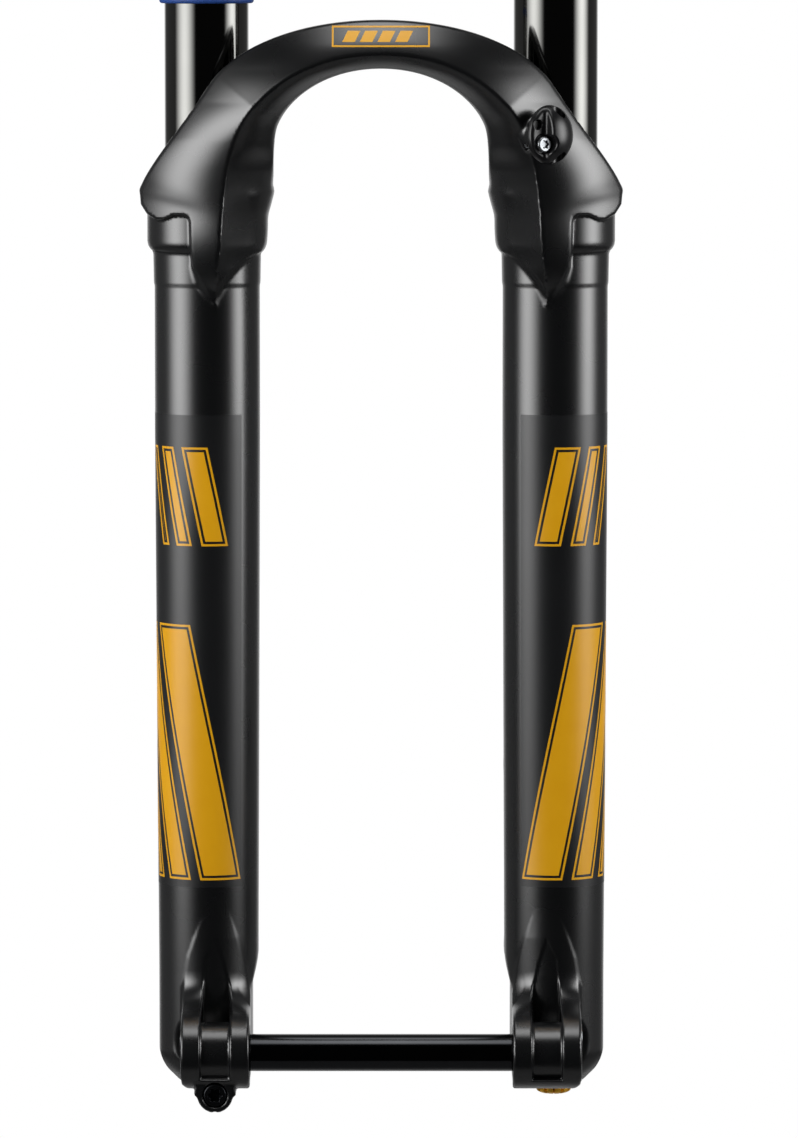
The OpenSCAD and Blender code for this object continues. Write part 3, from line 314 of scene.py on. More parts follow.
def vary(tree, shader, noise, dark, light, rough):
    """Colour between two tones and roughness between two values, both following one noise."""
    tone = add(tree, "ShaderNodeMix", {"data_type": "RGBA"}, _0=noise, _6=linear(dark), _7=linear(light))
    tree.links.new(tone.outputs[2], shader.inputs["Base Color"])
    level = add(tree, "ShaderNodeMapRange", Value=noise, To_Min=rough[0], To_Max=rough[1])
    tree.links.new(level.outputs[0], shader.inputs["Roughness"])


def raise_bumps(tree, shader, height, depth, strength=1.0):
    """Bump of the given depth in millimetres."""
    bump = add(tree, "ShaderNodeBump", Strength=strength, Distance=depth * MM, Height=height)
    tree.links.new(bump.outputs[0], shader.inputs["Normal"])


def noise_of(tree, place, size, detail=3.0, stretch=(1, 1, 1)):
    """Noise with features of size mm, drawn out along an axis where stretch is below 1."""
    mapped = add(tree, "ShaderNodeMapping", Vector=place, Scale=stretch)
    noise = add(tree, "ShaderNodeTexNoise", Vector=mapped.outputs[0], Scale=per_mm(size), Detail=detail)
    return noise.outputs["Fac"]


def satin_paint_on_magnesium(colours):
    """Powder paint on a casting: a satin sheen with a faint orange peel about 1.4 mm across,
    and slow drifts in gloss where the coat is thicker."""
    material, tree, shader, place = shaded("satin_paint_on_cast_magnesium", IOR=1.8)
    vary(tree, shader, noise_of(tree, place, 38), colours.paint, "#0A0B0D", (0.26, 0.29))
    raise_bumps(tree, shader, noise_of(tree, place, 1.4, 1), 0.012, 0.5)
    return material


def decal_film(colours):
    """Clear vinyl laid over the paint: a little greyer and duller, so highlights spread wider."""
    material, tree, shader, place = shaded("clear_vinyl_film", IOR=1.6)
    vary(tree, shader, noise_of(tree, place, 30), colours.film, "#121315", (0.35, 0.39))
    raise_bumps(tree, shader, noise_of(tree, place, 2.2, 1), 0.01, 0.4)
    return material


def decal_print(colours):
    """Screen-printed ink under vinyl: flat strong colour, with faint mottling in the ink layer."""
    material, tree, shader, place = shaded("printed_vinyl", IOR=1.5)
    vary(tree, shader, noise_of(tree, place, 9), colours.decal, "#F0B008", (0.33, 0.4))
    raise_bumps(tree, shader, noise_of(tree, place, 2.2, 1), 0.006, 0.3)
    return material


def coated_tube(colours):
    """Hard black coating on a honed tube: mirror-like, with hair-fine honing marks round it."""
    material, tree, shader, place = shaded("black_coated_tube", Metallic=1.0)
    vary(tree, shader, noise_of(tree, place, 26), colours.tube, "#646462", (0.07, 0.1))
    raise_bumps(tree, shader, noise_of(tree, place, 6, 2, (0.12, 0.12, 6)), 0.0012, 0.3)
    return material


def anodised(name, dark, light, rough, metal=1.0):
    """Anodised aluminium: dyed oxide over machining lines 0.45 mm apart, which run round the z axis.
    A bright dye scatters part of the light, so it counts as less than all metal."""
    material, tree, shader, place = shaded(name, Metallic=metal)
    vary(tree, shader, noise_of(tree, place, 11), dark, light, rough)
    raise_bumps(tree, shader, noise_of(tree, place, 3.6, 2, (0.06, 0.06, 8)), 0.008, 0.35)
    return material


def turned_metal(name, dark, light, rough):
    """Bare turned metal: bright, with lathe lines about 0.4 mm apart."""
    material, tree, shader, place = shaded(name, Metallic=1.0)
    vary(tree, shader, noise_of(tree, place, 7), dark, light, rough)
    raise_bumps(tree, shader, noise_of(tree, place, 3, 2, (0.1, 0.1, 7)), 0.012, 0.4)
    return material


def rubber(name, dark, light):
    """Moulded rubber: matt, with a fine grain and a bloom of paler specks."""
    material, tree, shader, place = shaded(name, IOR=1.5)
    vary(tree, shader, noise_of(tree, place, 1.6), dark, light, (0.5, 0.68))
    raise_bumps(tree, shader, noise_of(tree, place, 0.7, 2), 0.02, 0.5)
    return material


def moulded_plastic(name, dark, light, rough):
    """Injection-moulded nylon: smooth and semi-gloss with a trace of mould texture."""
    material, tree, shader, place = shaded(name, IOR=1.53)
    vary(tree, shader, noise_of(tree, place, 5), dark, light, rough)
    raise_bumps(tree, shader, noise_of(tree, place, 0.8, 2), 0.008, 0.4)
    return material


def open_foam(name):
    """Oiled open-cell foam: dull, full of pores about 0.8 mm wide."""
    material, tree, shader, place = shaded(name, IOR=1.4)
    pores = add(tree, "ShaderNodeTexVoronoi", Vector=place, Scale=per_mm(0.8)).outputs["Distance"]
    # The pore field that sinks the bumps also sets the colour, darker towards the bottom of each pore:
    # painted shade in the pores.
    vary(tree, shader, pores, "#2B2A27", "#6A665D", (0.8, 0.95))
    raise_bumps(tree, shader, pores, 0.3)
    return material


MATERIALS = {}
PAINT = "satin_black_magnesium"


def material_of(slot):
    """The finish of one of the record's material slots, made once."""
    if not MATERIALS:
        c = bpy.context.scene.fork_colours
        MATERIALS.update({
            PAINT: satin_paint_on_magnesium(c),
            "film": decal_film(c),
            "print": decal_print(c),
            "gloss_black_tube": coated_tube(c),
            "black_anodised": anodised("black_anodised_aluminium", "#2A2B2D", "#333436", (0.28, 0.36)),
            "axle": anodised("polished_black_anodised", "#303133", "#3A3B3D", (0.12, 0.16)),
            "black_steel": turned_metal("black_oxide_steel", "#232426", "#36373A", (0.3, 0.42)),
            "bare_alloy": turned_metal("turned_aluminium", "#B4B7BA", "#CFD1D3", (0.24, 0.34)),
            "steel": turned_metal("bright_steel", "#7C7F82", "#9A9DA0", (0.26, 0.36)),
            "gold_anodised": anodised("gold_anodised_aluminium", c.gold, "#FFCB4E", (0.24, 0.32), 0.55),
            "blue_anodised": anodised("blue_anodised_aluminium", "#1B4FA8", "#2A63C4", (0.22, 0.32)),
            "blue_rubber": rubber("blue_rubber", c.ring, "#1F4B99"),
            "black_rubber": rubber("black_nitrile_rubber", "#141415", "#232324"),
            "black_plastic": moulded_plastic("black_nylon", "#0B0B0C", "#141416", (0.26, 0.34)),
            "grey_plastic": moulded_plastic("grey_nylon", "#5E6064", "#6E7074", (0.3, 0.4)),
            "bronze_liner": turned_metal("oiled_bronze", "#6B5A36", "#8C7647", (0.38, 0.5)),
            "foam": open_foam("oiled_foam"),
        })
    return MATERIALS[slot]


# Settings a user would change


def length(name, description, size):
    """A length property whose default is given in millimetres."""
    return bpy.props.FloatProperty(
        name=name, description=description, default=size * MM, min=0.0, precision=4, unit="LENGTH")


def colour(name, description, code):
    """A colour property kept as an sRGB hex code."""
    return bpy.props.StringProperty(name=name, description=description, default=code, maxlen=7)


class ForkSizes(bpy.types.PropertyGroup):
    """Sizes of the cast lowers and the small pieces"""
    arch_rise: length("Arch rise", "Top of the arch above the collars", 66)
    arch_face: length("Arch face", "Height of the front face at the middle", 13.6)
    arch_bevel: length("Arch bevel", "Height of the bevel under the ridge", 5.8)
    arch_back: length("Arch back", "Back of the arch ahead of the leg axes", 25)
    arch_reach: length("Arch reach", "Ridge ahead of the leg axes at the middle", 47)
    collar_reach: length("Collar reach", "Ridge ahead of the leg axes at the collars", 33)
    collar_d: length("Collar diameter", "Collar that carries the arch", 54.6)
    seal_ring_d: length("Seal ring diameter", "Ring round the seal pocket", 48.4)
    neck_d: length("Neck diameter", "Neck between seal ring and leg", 43.6)
    leg_d: length("Leg diameter", "Leg below the neck", 42.6)
    leg_foot_d: length("Foot diameter", "Leg just above the dropout", 40.6)
    beak_edge: length("Beak edge", "Outboard edge of the beak from the leg axis", 6.4)
    beak_drop: length("Beak drop", "Tip of the beak below the collar", 46)
    cast_step: length("Mesh step", "Grid step of the cast pieces", 0.95)


class ForkColours(bpy.types.PropertyGroup):
    """Colours of the finishes, as sRGB hex codes"""
    paint: colour("Paint", "Satin black of the lowers", "#070809")
    film: colour("Film", "Paint seen through the decal film", "#0E0F11")
    decal: colour("Decal", "Printed stripes", "#E9A603")
    tube: colour("Tube", "Coating of the stanchions", "#5C5C5A")
    gold: colour("Gold", "Rebound knob", "#F0AC24")
    ring: colour("Ring", "Sag ring", "#163E86")


def sizes_mm():
    """All lengths of the settings, in millimetres, as a plain namespace."""
    group = bpy.context.scene.fork_sizes
    names = ForkSizes.__annotations__
    return type("Sizes", (), {n: getattr(group, n) / MM for n in names})


# Lower casting: arch, collars and beaks


def bezier(control, t):
    """Points of a cubic Bezier curve at the parameters t."""
    c, t = np.asarray(control, float), t[:, None]
    return (1 - t) ** 3 * c[0] + 3 * (1 - t) ** 2 * t * c[1] + 3 * (1 - t) * t * t * c[2] + t ** 3 * c[3]


def chain(*controls, steps=130):
    """Bezier stretches joined end to end."""
    t = np.linspace(0, 1, steps + 1)
    parts = [bezier(c, t if k == 0 else t[1:]) for k, c in enumerate(controls)]
    return np.concatenate(parts)


def nearest(curve, x, z):
    """Distance in the front view from each point to a curve, the curve's y at the nearest
    point, and a sign that is positive on the left of the curve's direction."""
    q = np.stack([x.ravel(), z.ravel()], axis=1)
    c, y = curve[:, [0, 2]], curve[:, 1]
    gap = ((q[:, None, :] - c[None]) ** 2).sum(-1)
    k = np.clip(gap.argmin(1), 1, len(c) - 2)
    best, height, turn = np.full(len(q), 1e9), np.zeros(len(q)), np.zeros(len(q))
    for start in (k - 1, k):
        a, e = c[start], c[start + 1] - c[start]
        t = np.clip(((q - a) * e).sum(1) / (e * e).sum(1), 0, 1)
        off = q - a - t[:, None] * e
        d = np.hypot(*off.T)
        better = d < best
        best = np.where(better, d, best)
        height = np.where(better, y[start] * (1 - t) + y[start + 1] * t, height)
        turn = np.where(better, np.sign(e[:, 0] * off[:, 1] - e[:, 1] * off[:, 0]), turn)
    return [v.reshape(x.shape) for v in (best, height, turn)]


def soften(grid, times):
    """Map blurred by repeated 1-2-1 weights along both directions."""
    for _ in range(times):
        for axis in (0, 1):
            wide = np.pad(grid, [(1, 1) if k == axis else (0, 0) for k in (0, 1)], mode="edge")
            count = grid.shape[axis]
            low, high = np.take(wide, range(count), axis), np.take(wide, range(2, count + 2), axis)
            grid = grid / 2 + (low + high) / 4
    return grid


def bowed(start, end, share, z, heights, across, deep):
    """Depth between two edge curves at a share of the way across: a quadratic Bezier whose middle
    control point lies at the given shares across and deep, which change with the height z."""
    c, k = np.interp(z, heights, across), np.interp(z, heights, deep)
    u = (np.sqrt(c * c + (1 - 2 * c) * share) - c) / (1 - 2 * c)
    return start + (end - start) * (2 * k * u + (1 - 2 * k) * u * u)


class FrontMap:
    """Front face of the arch and beaks over a grid in the front view, for one half: how far
    each point lies outside the outline, and the depth y of the face there. Between two edge
    curves the depth follows a quadratic Bezier in the share of the way across."""

    step = 0.4
    low, high = (0.0, -74.0), (101.0, 72.0)

    def __init__(self, s):
        r = s.collar_d / 2
        back, reach, near = s.arch_back, s.arch_reach, s.collar_reach
        top, ridge = s.arch_rise, s.arch_rise - s.arch_face
        inner = ridge - s.arch_bevel
        leg = s.leg_d / 2
        shoulder = [LEG_X - 1.5, -back - 2, top - 26]
        side = [LEG_X + r - 0.2, -11.5, -3]
        outer = chain(
            [[0, -back - 13, top], [LEG_X / 2 + 1, -back - 13, top],
             [LEG_X - 10.5, -back - 6, top - 12.5], shoulder],
            [shoulder, [LEG_X + 10.5, -back - 1, top - 44.5], [LEG_X + r - 3.5, -20, 7], side])
        fold = [LEG_X - 19.5, -reach + 2.5, ridge - 21]
        brow = [LEG_X - 6.5, -near + 0.2, -16]
        crest = chain(
            [[0, -reach, ridge], [LEG_X / 2 - 5, -reach, ridge],
             [LEG_X - 28.5, -reach + 1, ridge - 12], fold],
            [fold, [LEG_X - 12, -reach + 6, ridge - 30], [LEG_X - 8, -near - 0.4, 9], brow],
            [brow, [LEG_X - 5.9, -near + 0.8, -28], [LEG_X - 4.4, -leg - 6.5, -s.beak_drop + 8],
             [LEG_X - 3.2, -leg + 1.4, -s.beak_drop - 2]])
        cheek = [LEG_X - 29, -back + 0.5, inner - 23]
        jaw = [LEG_X - r + 0.2, -2, -9]
        under = chain(
            [[0, -back - 13, inner], [LEG_X / 2 - 14, -back - 13, inner],
             [LEG_X - 34, -back - 5, inner - 11], cheek],
            [cheek, [LEG_X - 26.9, -back + 2.5, inner - 28.5], [LEG_X - 26.9, -13, 4], jaw])
        tip = [LEG_X - 3.2, -leg, -s.beak_drop - 1]
        throat = [LEG_X - leg - 2.1, -2, -27.5]
        lower = chain(
            [jaw, [LEG_X - r + 0.4, 0, -13], [LEG_X - leg - 3.7, -1, -21], throat],
            [throat, [LEG_X - 15.5, -13, -30], [LEG_X - 7, -leg + 2, -36], tip], steps=40)
        line = chain(
            [side, [LEG_X + r - 0.2, -14.5, -10], [LEG_X + r - 1, -10, -34], [LEG_X + r - 2, -5, -60]],
            steps=60)
        edge = LEG_X + s.beak_edge
        notch = [
            [LEG_X + 26.4, -8.4], [LEG_X + 24, -12], [LEG_X + 19.5, -14.6], [LEG_X + 16.5, -14.2],
            [LEG_X + 12.6, -12.4], [edge + 2.2, -12.4], [edge + 0.6, -13.2], [edge, -14.8], [edge - 0.3, -27],
            [edge - 1.2, -33],
            [LEG_X + 2.8, -38.5], [LEG_X - 0.4, -44], [LEG_X - 3, -s.beak_drop - 2]
        ]
        rim = np.concatenate([under, lower[1:]])
        border = np.concatenate([
            [[-12, top]], outer[::3][:, [0, 2]], notch, rim[::-3][:, [0, 2]], [[-12, inner]]
        ])
        axes = [np.arange(a, b + self.step, self.step) for a, b in zip(self.low, self.high)]
        x, z = np.meshgrid(*axes, indexing="ij")
        self.edge = outline(x, z, border)
        d_out, y_out, turn = nearest(np.concatenate([outer, line[1:]]), x, z)
        d_out, y_out = np.maximum(soften(-turn * d_out, 10), 0), soften(y_out, 80)
        d_in, _, turn = nearest(rim, x, z)
        d_in = np.maximum(soften(turn * d_in, 60), 0)
        y_in = soften(np.interp(z, rim[::-1, 2], rim[::-1, 1]), 10)
        d_mid, y_mid, turn = nearest(crest, x, z)
        self.crest = crest[::-1]
        outer_face = bowed(y_out, y_mid, d_out / (d_out + d_mid + 1e-9), z, [8, 18, 33, 46, 56],
                           [0.44, 0.38, 0.42, 0.52, 0.6], [0.82, 0.75, 0.56, 0.66, 0.82])
        inner_face = bowed(y_mid, y_in, d_mid / (d_mid + d_in + 1e-9), z, [4, 30], [0.53, 0.65], [0.48, 0.33])
        self.front = soften(np.where(turn > 0, outer_face, inner_face), 3)
        gx, gz = np.gradient(self.front, self.step)
        self.tilt = 1 / np.sqrt(1 + gx * gx + gz * gz)

    def read(self, grid, x, z):
        """Value of a map at any points, weighted between the four grid points around each."""
        u = np.clip((np.abs(x) - self.low[0]) / self.step, 0, grid.shape[0] - 1.001)
        v = np.clip((z - self.low[1]) / self.step, 0, grid.shape[1] - 1.001)
        i, j = u.astype(int), v.astype(int)
        u, v = u - i, v - j
        return (grid[i, j] * (1 - u) * (1 - v) + grid[i + 1, j] * u * (1 - v)
                + grid[i, j + 1] * (1 - u) * v + grid[i + 1, j + 1] * u * v)


FRONT = {}


def front_map(s):
    """The front map, worked out once."""
    if not FRONT:
        FRONT["map"] = FrontMap(s)
    return FRONT["map"]


def ramp(u, low, high):
    """0 below low and 1 above high, with an even slope between."""
    return np.clip((u - low) / (high - low), 0, 1)


GUIDE_TURN = math.radians(33)
GUIDE_BOLT = (-2.4, -3.6)
LEG_BORE_R = 18.5


def guide_axes(x, y, z):
    """Coordinates in the hose guide's frame: outboard, up and out of the arch."""
    c, s = math.cos(GUIDE_TURN), math.sin(GUIDE_TURN)
    dx, dy = x - (LEG_X - 6.3), y - (LEG_Y - 40.7)
    return c * dx + s * dy, z - (COLLAR_Z + 20.4), s * dx - c * dy - 1.4


def leg_bore(rho, z):
    """Distance to the stepped hole down a leg, z from the collar top: the seal pocket, and the
    narrower clear bore below it."""
    radius = np.where(z > SEAL_LOW - COLLAR_Z, SEAL_R + 0.02, LEG_BORE_R)
    return rho - radius


def ease(u, low, high):
    """0 below low and 1 above high, with a slope that starts and ends level."""
    t = ramp(u, low, high)
    return t * t * (3 - 2 * t)


def tangent_face(u, v, pu, pv, r):
    """Distance outside the line that runs from a point P to the circle of radius r it touches,
    and outside the circle past the point of touch. The line's normal is the direction of P
    turned by the angle whose cosine is r over the distance of P. The second value is positive
    on the circle's side of the line from the centre to P."""
    far = np.hypot(pu, pv)
    c = r / far
    s = np.sqrt(np.maximum(1 - c * c, 0))
    nu, nv = (c * pu - s * pv) / far, (c * pv + s * pu) / far
    along = u * nv - v * nu
    return np.where(along > 0, u * nu + v * nv - r, np.hypot(u, v) - r), pu * v - pv * u


TOP_JOIN = -62.0

# Room for the crown behind the arch at full travel, a millimetre or two more than it fills: its
# front by the distance inboard of the leg axis, its underside above the collar top, which slopes
# up inboard of its corner, and its round ends.
CROWN_FRONT = ([-1, 0, 10, 16, 20, 26], [60, -24.3, -22.9, -21, -19.7, -18.5])
CROWN_UNDER, CROWN_SLOPE, CROWN_CORNER = 14.0, 0.8, 22.5
CROWN_END_R = 24.8


def casting_top_field(s):
    """Field of the arch, collars and beaks in one: the front map cut off at the back and hollowed
    between ribs, joined with the turned collars and the guide's boss, less the room for the
    stanchions, for the crown at full travel and for the stepped bores."""
    front = front_map(s)
    seam = -s.beak_drop + 5.2
    leg, neck, ring, collar_r = s.leg_d / 2, s.neck_d / 2, s.seal_ring_d / 2, s.collar_d / 2
    profile = np.array([
        [leg - 0.4, TOP_JOIN - 9], [leg - 0.4, TOP_JOIN - 4], [leg, TOP_JOIN - 2.5], [leg, seam - 0.9],
        [neck - 0.2, seam + 0.5], [neck, -28.8], [neck + 0.3, -27.6], [ring - 1.0, -26.5],
        [ring - 0.3, -25.2], [ring, -23.6], [ring, -12.6], [ring + 0.4, -11.6], [collar_r - 1.3, -7.6],
        [collar_r - 0.3, -5], [collar_r, -3.4], [collar_r - 0.4, -1.8], [collar_r - 1.6, 0], [collar_r - 3, 3]
    ])

    def cover_radius(h):
        """Radius that the beak's inner face touches, widening from the neck to the collar."""
        step, flare = ring - neck + 0.2, collar_r - ring - 0.5
        return neck + 0.2 + step * ease(h, -33, -24) + flare * ease(h, -16, -2)

    def field(x, y, z):
        h, depth = z - COLLAR_Z, y - LEG_Y
        lat = LEG_X - np.abs(x)
        rho = np.hypot(lat, depth)
        edge, face, tilt = (
            front.read(grid, x + 0 * h, h + 0 * x) for grid in (front.edge, front.front, front.tilt))
        rear = np.interp(h, [-6, 8, 24, 40], [4, -5, -16, -s.arch_back])
        crown_under = CROWN_UNDER + CROWN_SLOPE * np.clip(lat - CROWN_CORNER, 0, 7)
        crown = np.maximum(np.interp(lat, *CROWN_FRONT) - depth, crown_under - h)
        front_face = (face - depth) * tilt
        inner = tangent_face(lat, depth, LEG_X - np.interp(h, front.crest[:, 2], front.crest[:, 0]),
                             np.interp(h, front.crest[:, 2], front.crest[:, 1]), cover_radius(h))
        share = ease(-h, -16, 2) * (inner[1] > 0)
        front_face = front_face * (1 - share) + inner[0] * share
        shield = both(edge, front_face, 1.2)
        shield = both(shield, depth - rear, 1.5)
        shield = less(shield, both(rho - CROWN_END_R, -h, 1.0), 1.2)
        shield = less(shield, crown, 0.8)
        pocket = both(edge + 4.2, face + 5.0 - depth, 2.0)
        rib = np.abs((np.abs(x) + 9) % 18 - 9) - 1.3
        pocket = less(both(pocket, 26 - h, 2.0), rib, 1.5)
        shield = less(shield, pocket, 1.0)
        collar = both(rho - np.interp(h, profile[:, 1], profile[:, 0]), h, 1.2)
        fillet = 0.8 + 2.2 * ease(-h, 28, 40)
        body = either(shield, collar, fillet)
        gx, gy, gz = guide_axes(x, y, z)
        boss = both(np.hypot(gx - 1.5, gy) - 7.6, slab(gz, -9, -0.2), 1.0)
        body = either(body, boss, 1.5)
        bolt = both(np.hypot(gx - GUIDE_BOLT[0], gy - GUIDE_BOLT[1]) - 2.1, slab(gz, -8, 2), 0.1)
        body = less(less(body, leg_bore(rho, h), 0.4), bolt, 0.2)
        return np.maximum(body, TOP_JOIN - 6 - h)

    return field


class FORK_OT_casting_top(bpy.types.Operator):
    """Casts the arch with its ridge, the collars and the beaks"""
    bl_idname = "fork.casting_top"
    bl_label = "Arch and collars"

    def execute(self, context):
        s = sizes_mm()
        low = (-LEG_X - 31, LEG_Y - 52, COLLAR_Z + TOP_JOIN - 7.5)
        high = (LEG_X + 31, LEG_Y + 31, COLLAR_Z + s.arch_rise + 3)
        surface = level_surface(casting_top_field(s), low, high, s.cast_step)
        make_piece("casting_arch", surface, "lowers", PAINT, ["lower_casting"])
        return {"FINISHED"}


# Lower casting: legs and feet

FOOT_TOP = {"air": 62.0, "damper": 128.0}


def leg_radius(z, s):
    """Outside radius of a leg at a height: full at the top, drawn in towards the foot."""
    return np.interp(z, [AXLE_Z + 29, COLLAR_Z - 101], [s.leg_foot_d / 2, s.leg_d / 2])


class FORK_OT_legs(bpy.types.Operator):
    """Turns the plain tubes of both lower legs between collar and dropout"""
    bl_idname = "fork.legs"
    bl_label = "Leg tubes"

    def execute(self, context):
        s = sizes_mm()
        for name, side in SIDES.items():
            z = np.linspace(AXLE_Z + FOOT_TOP[name], COLLAR_Z + TOP_JOIN, 40)
            outside = np.stack([leg_radius(z, s) + 0.01, z], axis=1)
            inside = np.array([[LEG_BORE_R, z[-1]], [LEG_BORE_R, z[0]]])
            surface = turned_on_leg(np.concatenate([outside, inside]), side, 160)
            make_piece(f"casting_leg_{name}", surface, "lowers", PAINT, ["lower_casting"], crease=40)
        return {"FINISHED"}


HUB_HALF = 55.0
SEAT_DEPTH = 2.0
DROP_IN = LEG_X - HUB_HALF + SEAT_DEPTH
DROP_OUT = DROP_IN - 28.0
DROP_MID = (DROP_IN + DROP_OUT) / 2
RIB_R, CORE_R, RIB_W = 14.5, 12.3, 8.0
SLEEVE_R = AXLE_R + 1.55
NUT_R, HUB_SEAT_R, OUTER_FACE_R = 11.55, 10.7, 21
PINCH_HEAD_R, PINCH_SHANK_R = 5.1, 2.55
POST_R, POST_HOLE_R, POST_HOLE_DEEP = 7.5, 2.5, 16
PINCH_Z = middle_mm("pinch_bolt")[2]


def dropout_side(y, z):
    """Side view of a dropout: a round nose on the axle, joined to the leg below and behind it."""
    low = AXLE_Z - RIB_R + 1.5
    block = outline(y, z, [
        [DROP_Y, AXLE_Z + 8], [DROP_Y, AXLE_Z - RIB_R], [DROP_Y + 8, low], [0, low], [0, AXLE_Z + 8]])
    return np.minimum(block, np.hypot(y - DROP_Y, z - AXLE_Z) - RIB_R)


def dropout_front(lat, z):
    """Front view of a dropout: straight beside the hub and the bolt head, narrowing up the leg."""
    h = z - AXLE_Z
    return outline(lat, h, [
        [DROP_OUT + 3, -RIB_R - 1], [DROP_OUT + 0.6, -RIB_R + 2.5], [DROP_OUT, -RIB_R + 6], [DROP_OUT, 24],
        [DROP_OUT + 2, 36], [-3, 52], [4, 58], [9, 56], [12.2, 45], [16.2, 31], [DROP_IN, 20],
        [DROP_IN, -RIB_R - 1]])


def foot_field(s, name):
    """Field of one foot with its dropout: the turned leg with a rounded end, the nose that
    swells out of it round the axle with a pocket between two ribs, the flat beside the hub,
    and the holes through them."""
    side = SIDES[name]
    r = s.leg_foot_d / 2
    join = AXLE_Z + FOOT_TOP[name]
    brake = np.array(MOUNTS["brake_posts"]["pos_m"]) / MM
    spread = MOUNTS["brake_posts"]["dims"]["spacing_y_mm"] / 2

    def field(x, y, z):
        lat, y = LEG_X - side * x, y - LEG_Y
        rho = np.hypot(lat, y)
        leg = rho - leg_radius(z, s) + 0.4 * ramp(z, join + 2.5, join + 4)
        cone = (rho + FOOT_Z - z - 11.3) * 0.7071
        leg = both(both(leg, cone, 4.0), FOOT_Z - z, 1.5)
        axle = np.hypot(y - DROP_Y, z - AXLE_Z)
        sweep = np.interp(z - AXLE_Z, [-4, 6, 30, 52, 58], [1, 28, 21, 3, 0.2])
        nose = both(either(dropout_side(y, z), leg, sweep), dropout_front(lat, z), 1.2)
        nose = nose + 0.9 * ramp(z - AXLE_Z, 44, 57)
        body = either(leg, nose, 1.0)
        top = AXLE_Z + 24
        hub_flat = outline(lat, z, [
            [DROP_IN + 0.4, FOOT_Z - 9], [DROP_IN + 0.4, top], [r + 0.4, top + 11], [r + 9, top + 11],
            [r + 9, FOOT_Z - 9]])
        body = less(body, hub_flat, 1.0)
        gap = outline(lat, z - AXLE_Z, [
            [DROP_OUT + RIB_W, -RIB_R * 2 / 3], [DROP_IN - RIB_W, -RIB_R * 2 / 3], [DROP_IN - RIB_W, 18],
            [DROP_IN - RIB_W - 1, 26], [DROP_IN - RIB_W - 3.5, 36], [DROP_MID, 44],
            [DROP_OUT + RIB_W + 1.5, 36], [DROP_OUT + RIB_W + 0.8, 22], [DROP_OUT + RIB_W, 12]])
        web = np.minimum(axle - CORE_R, outline(y, z - AXLE_Z, [
            [DROP_Y, -CORE_R], [0, -CORE_R], [0, 3], [-21, 5], [DROP_Y, CORE_R - 1]]))
        behind = either(web, leg, 3.0)
        body = less(body, both(gap, -behind, 0.8), 0.7)
        if name == "air":
            pinch = np.hypot(lat - DROP_MID, z - PINCH_Z)
            neck = np.maximum(np.abs(lat - DROP_MID) - 8.2, slab(z, PINCH_Z, PINCH_Z + 8))
            ear = both(either(pinch - 7.2, neck, 2.0), slab(y - DROP_Y, -9.5, 9.5), 1.0)
            body = either(body, ear, 1.0)
            body = less(body, np.hypot(lat - DROP_MID, z - PINCH_Z + 8.0) - 1.3, 0.4)
            slit = np.maximum(np.abs(y - DROP_Y) - 0.8, z - AXLE_Z)
            head = np.maximum(pinch - PINCH_HEAD_R, y - DROP_Y + 5.4)
            body = less(less(body, slit, 0.3), np.minimum(head, pinch - PINCH_SHANK_R), 0.3)
        else:
            for end in (-1, 1):
                rise = z - brake[2] - end * spread
                inset = lat - (LEG_X - brake[0])
                face = brake[1] - LEG_Y
                off = np.hypot(inset, rise)
                post = both(off - POST_R, slab(y, 0, face), 1.0)
                gusset = outline(y, rise, [[r / 2, 0], [face - 3, 0], [r / 2, -33]])
                gusset = both(gusset, np.abs(inset) - POST_R / 2, 1.0)
                body = either(body, either(post, gusset, 2.0), 3.0)
                body = less(body, np.maximum(off - POST_HOLE_R, face - POST_HOLE_DEEP - y), 0.3)
            body = less(body, np.maximum(axle - NUT_R, lat - DROP_OUT - 3), 0.2)
        body = less(body, np.maximum(axle - SLEEVE_R, slab(lat, DROP_OUT - 9, DROP_IN + 9)), 0.3)
        body = less(body, np.maximum(axle - HUB_SEAT_R, DROP_IN - SEAT_DEPTH - lat), 0.4)
        body = less(body, np.maximum(axle - OUTER_FACE_R, slab(lat, DROP_OUT - 40, DROP_OUT)), 0.8)
        bore = np.maximum(rho - np.where(z > AXLE_Z + 29, 18.0, 15.5), FLOOR_Z - z)
        body = less(body, np.minimum(bore, rho - 4.2), 0.4)
        return np.maximum(body, z - join - 6)

    return field


class FORK_OT_feet(bpy.types.Operator):
    """Casts the feet with their ribbed dropouts, the pinch ear and the brake posts"""
    bl_idname = "fork.feet"
    bl_label = "Feet and dropouts"

    def execute(self, context):
        s = sizes_mm()
        for name, side in SIDES.items():
            back = 41 if name == "damper" else 24
            low = (side * LEG_X - 24, LEG_Y - 53, AXLE_Z - 25)
            high = (side * LEG_X + 24, LEG_Y + back, AXLE_Z + FOOT_TOP[name] + 7.5)
            surface = level_surface(foot_field(s, name), low, high, 0.8 * s.cast_step)
            make_piece(f"casting_foot_{name}", surface, "lowers", PAINT, ["lower_casting"])
        return {"FINISHED"}


# Decals


def panel(corners, count=56):
    """Grid over a four-sided patch: each point lies between the corners by its two shares."""
    u, v = np.meshgrid(np.linspace(0, 1, count), np.linspace(0, 1, count), indexing="ij")
    u, v, c = u[..., None], v[..., None], np.asarray(corners, float)
    return (c[0] * (1 - u) + c[1] * u) * (1 - v) + (c[3] * (1 - u) + c[2] * u) * v, False


def border(outer, inner, count=48):
    """Grid over the strip between two four-sided outlines, running round them."""
    t = np.linspace(0, 1, count, endpoint=False)[None, :, None]
    rim = [np.asarray(c, float)[:, None, :] for c in (outer, inner)]
    rim = [(c * (1 - t) + np.roll(c, -1, axis=0) * t).reshape(-1, 2) for c in rim]
    return np.stack([rim[0] * (1 - k) + rim[1] * k for k in np.linspace(0, 1, 3)], axis=1), True


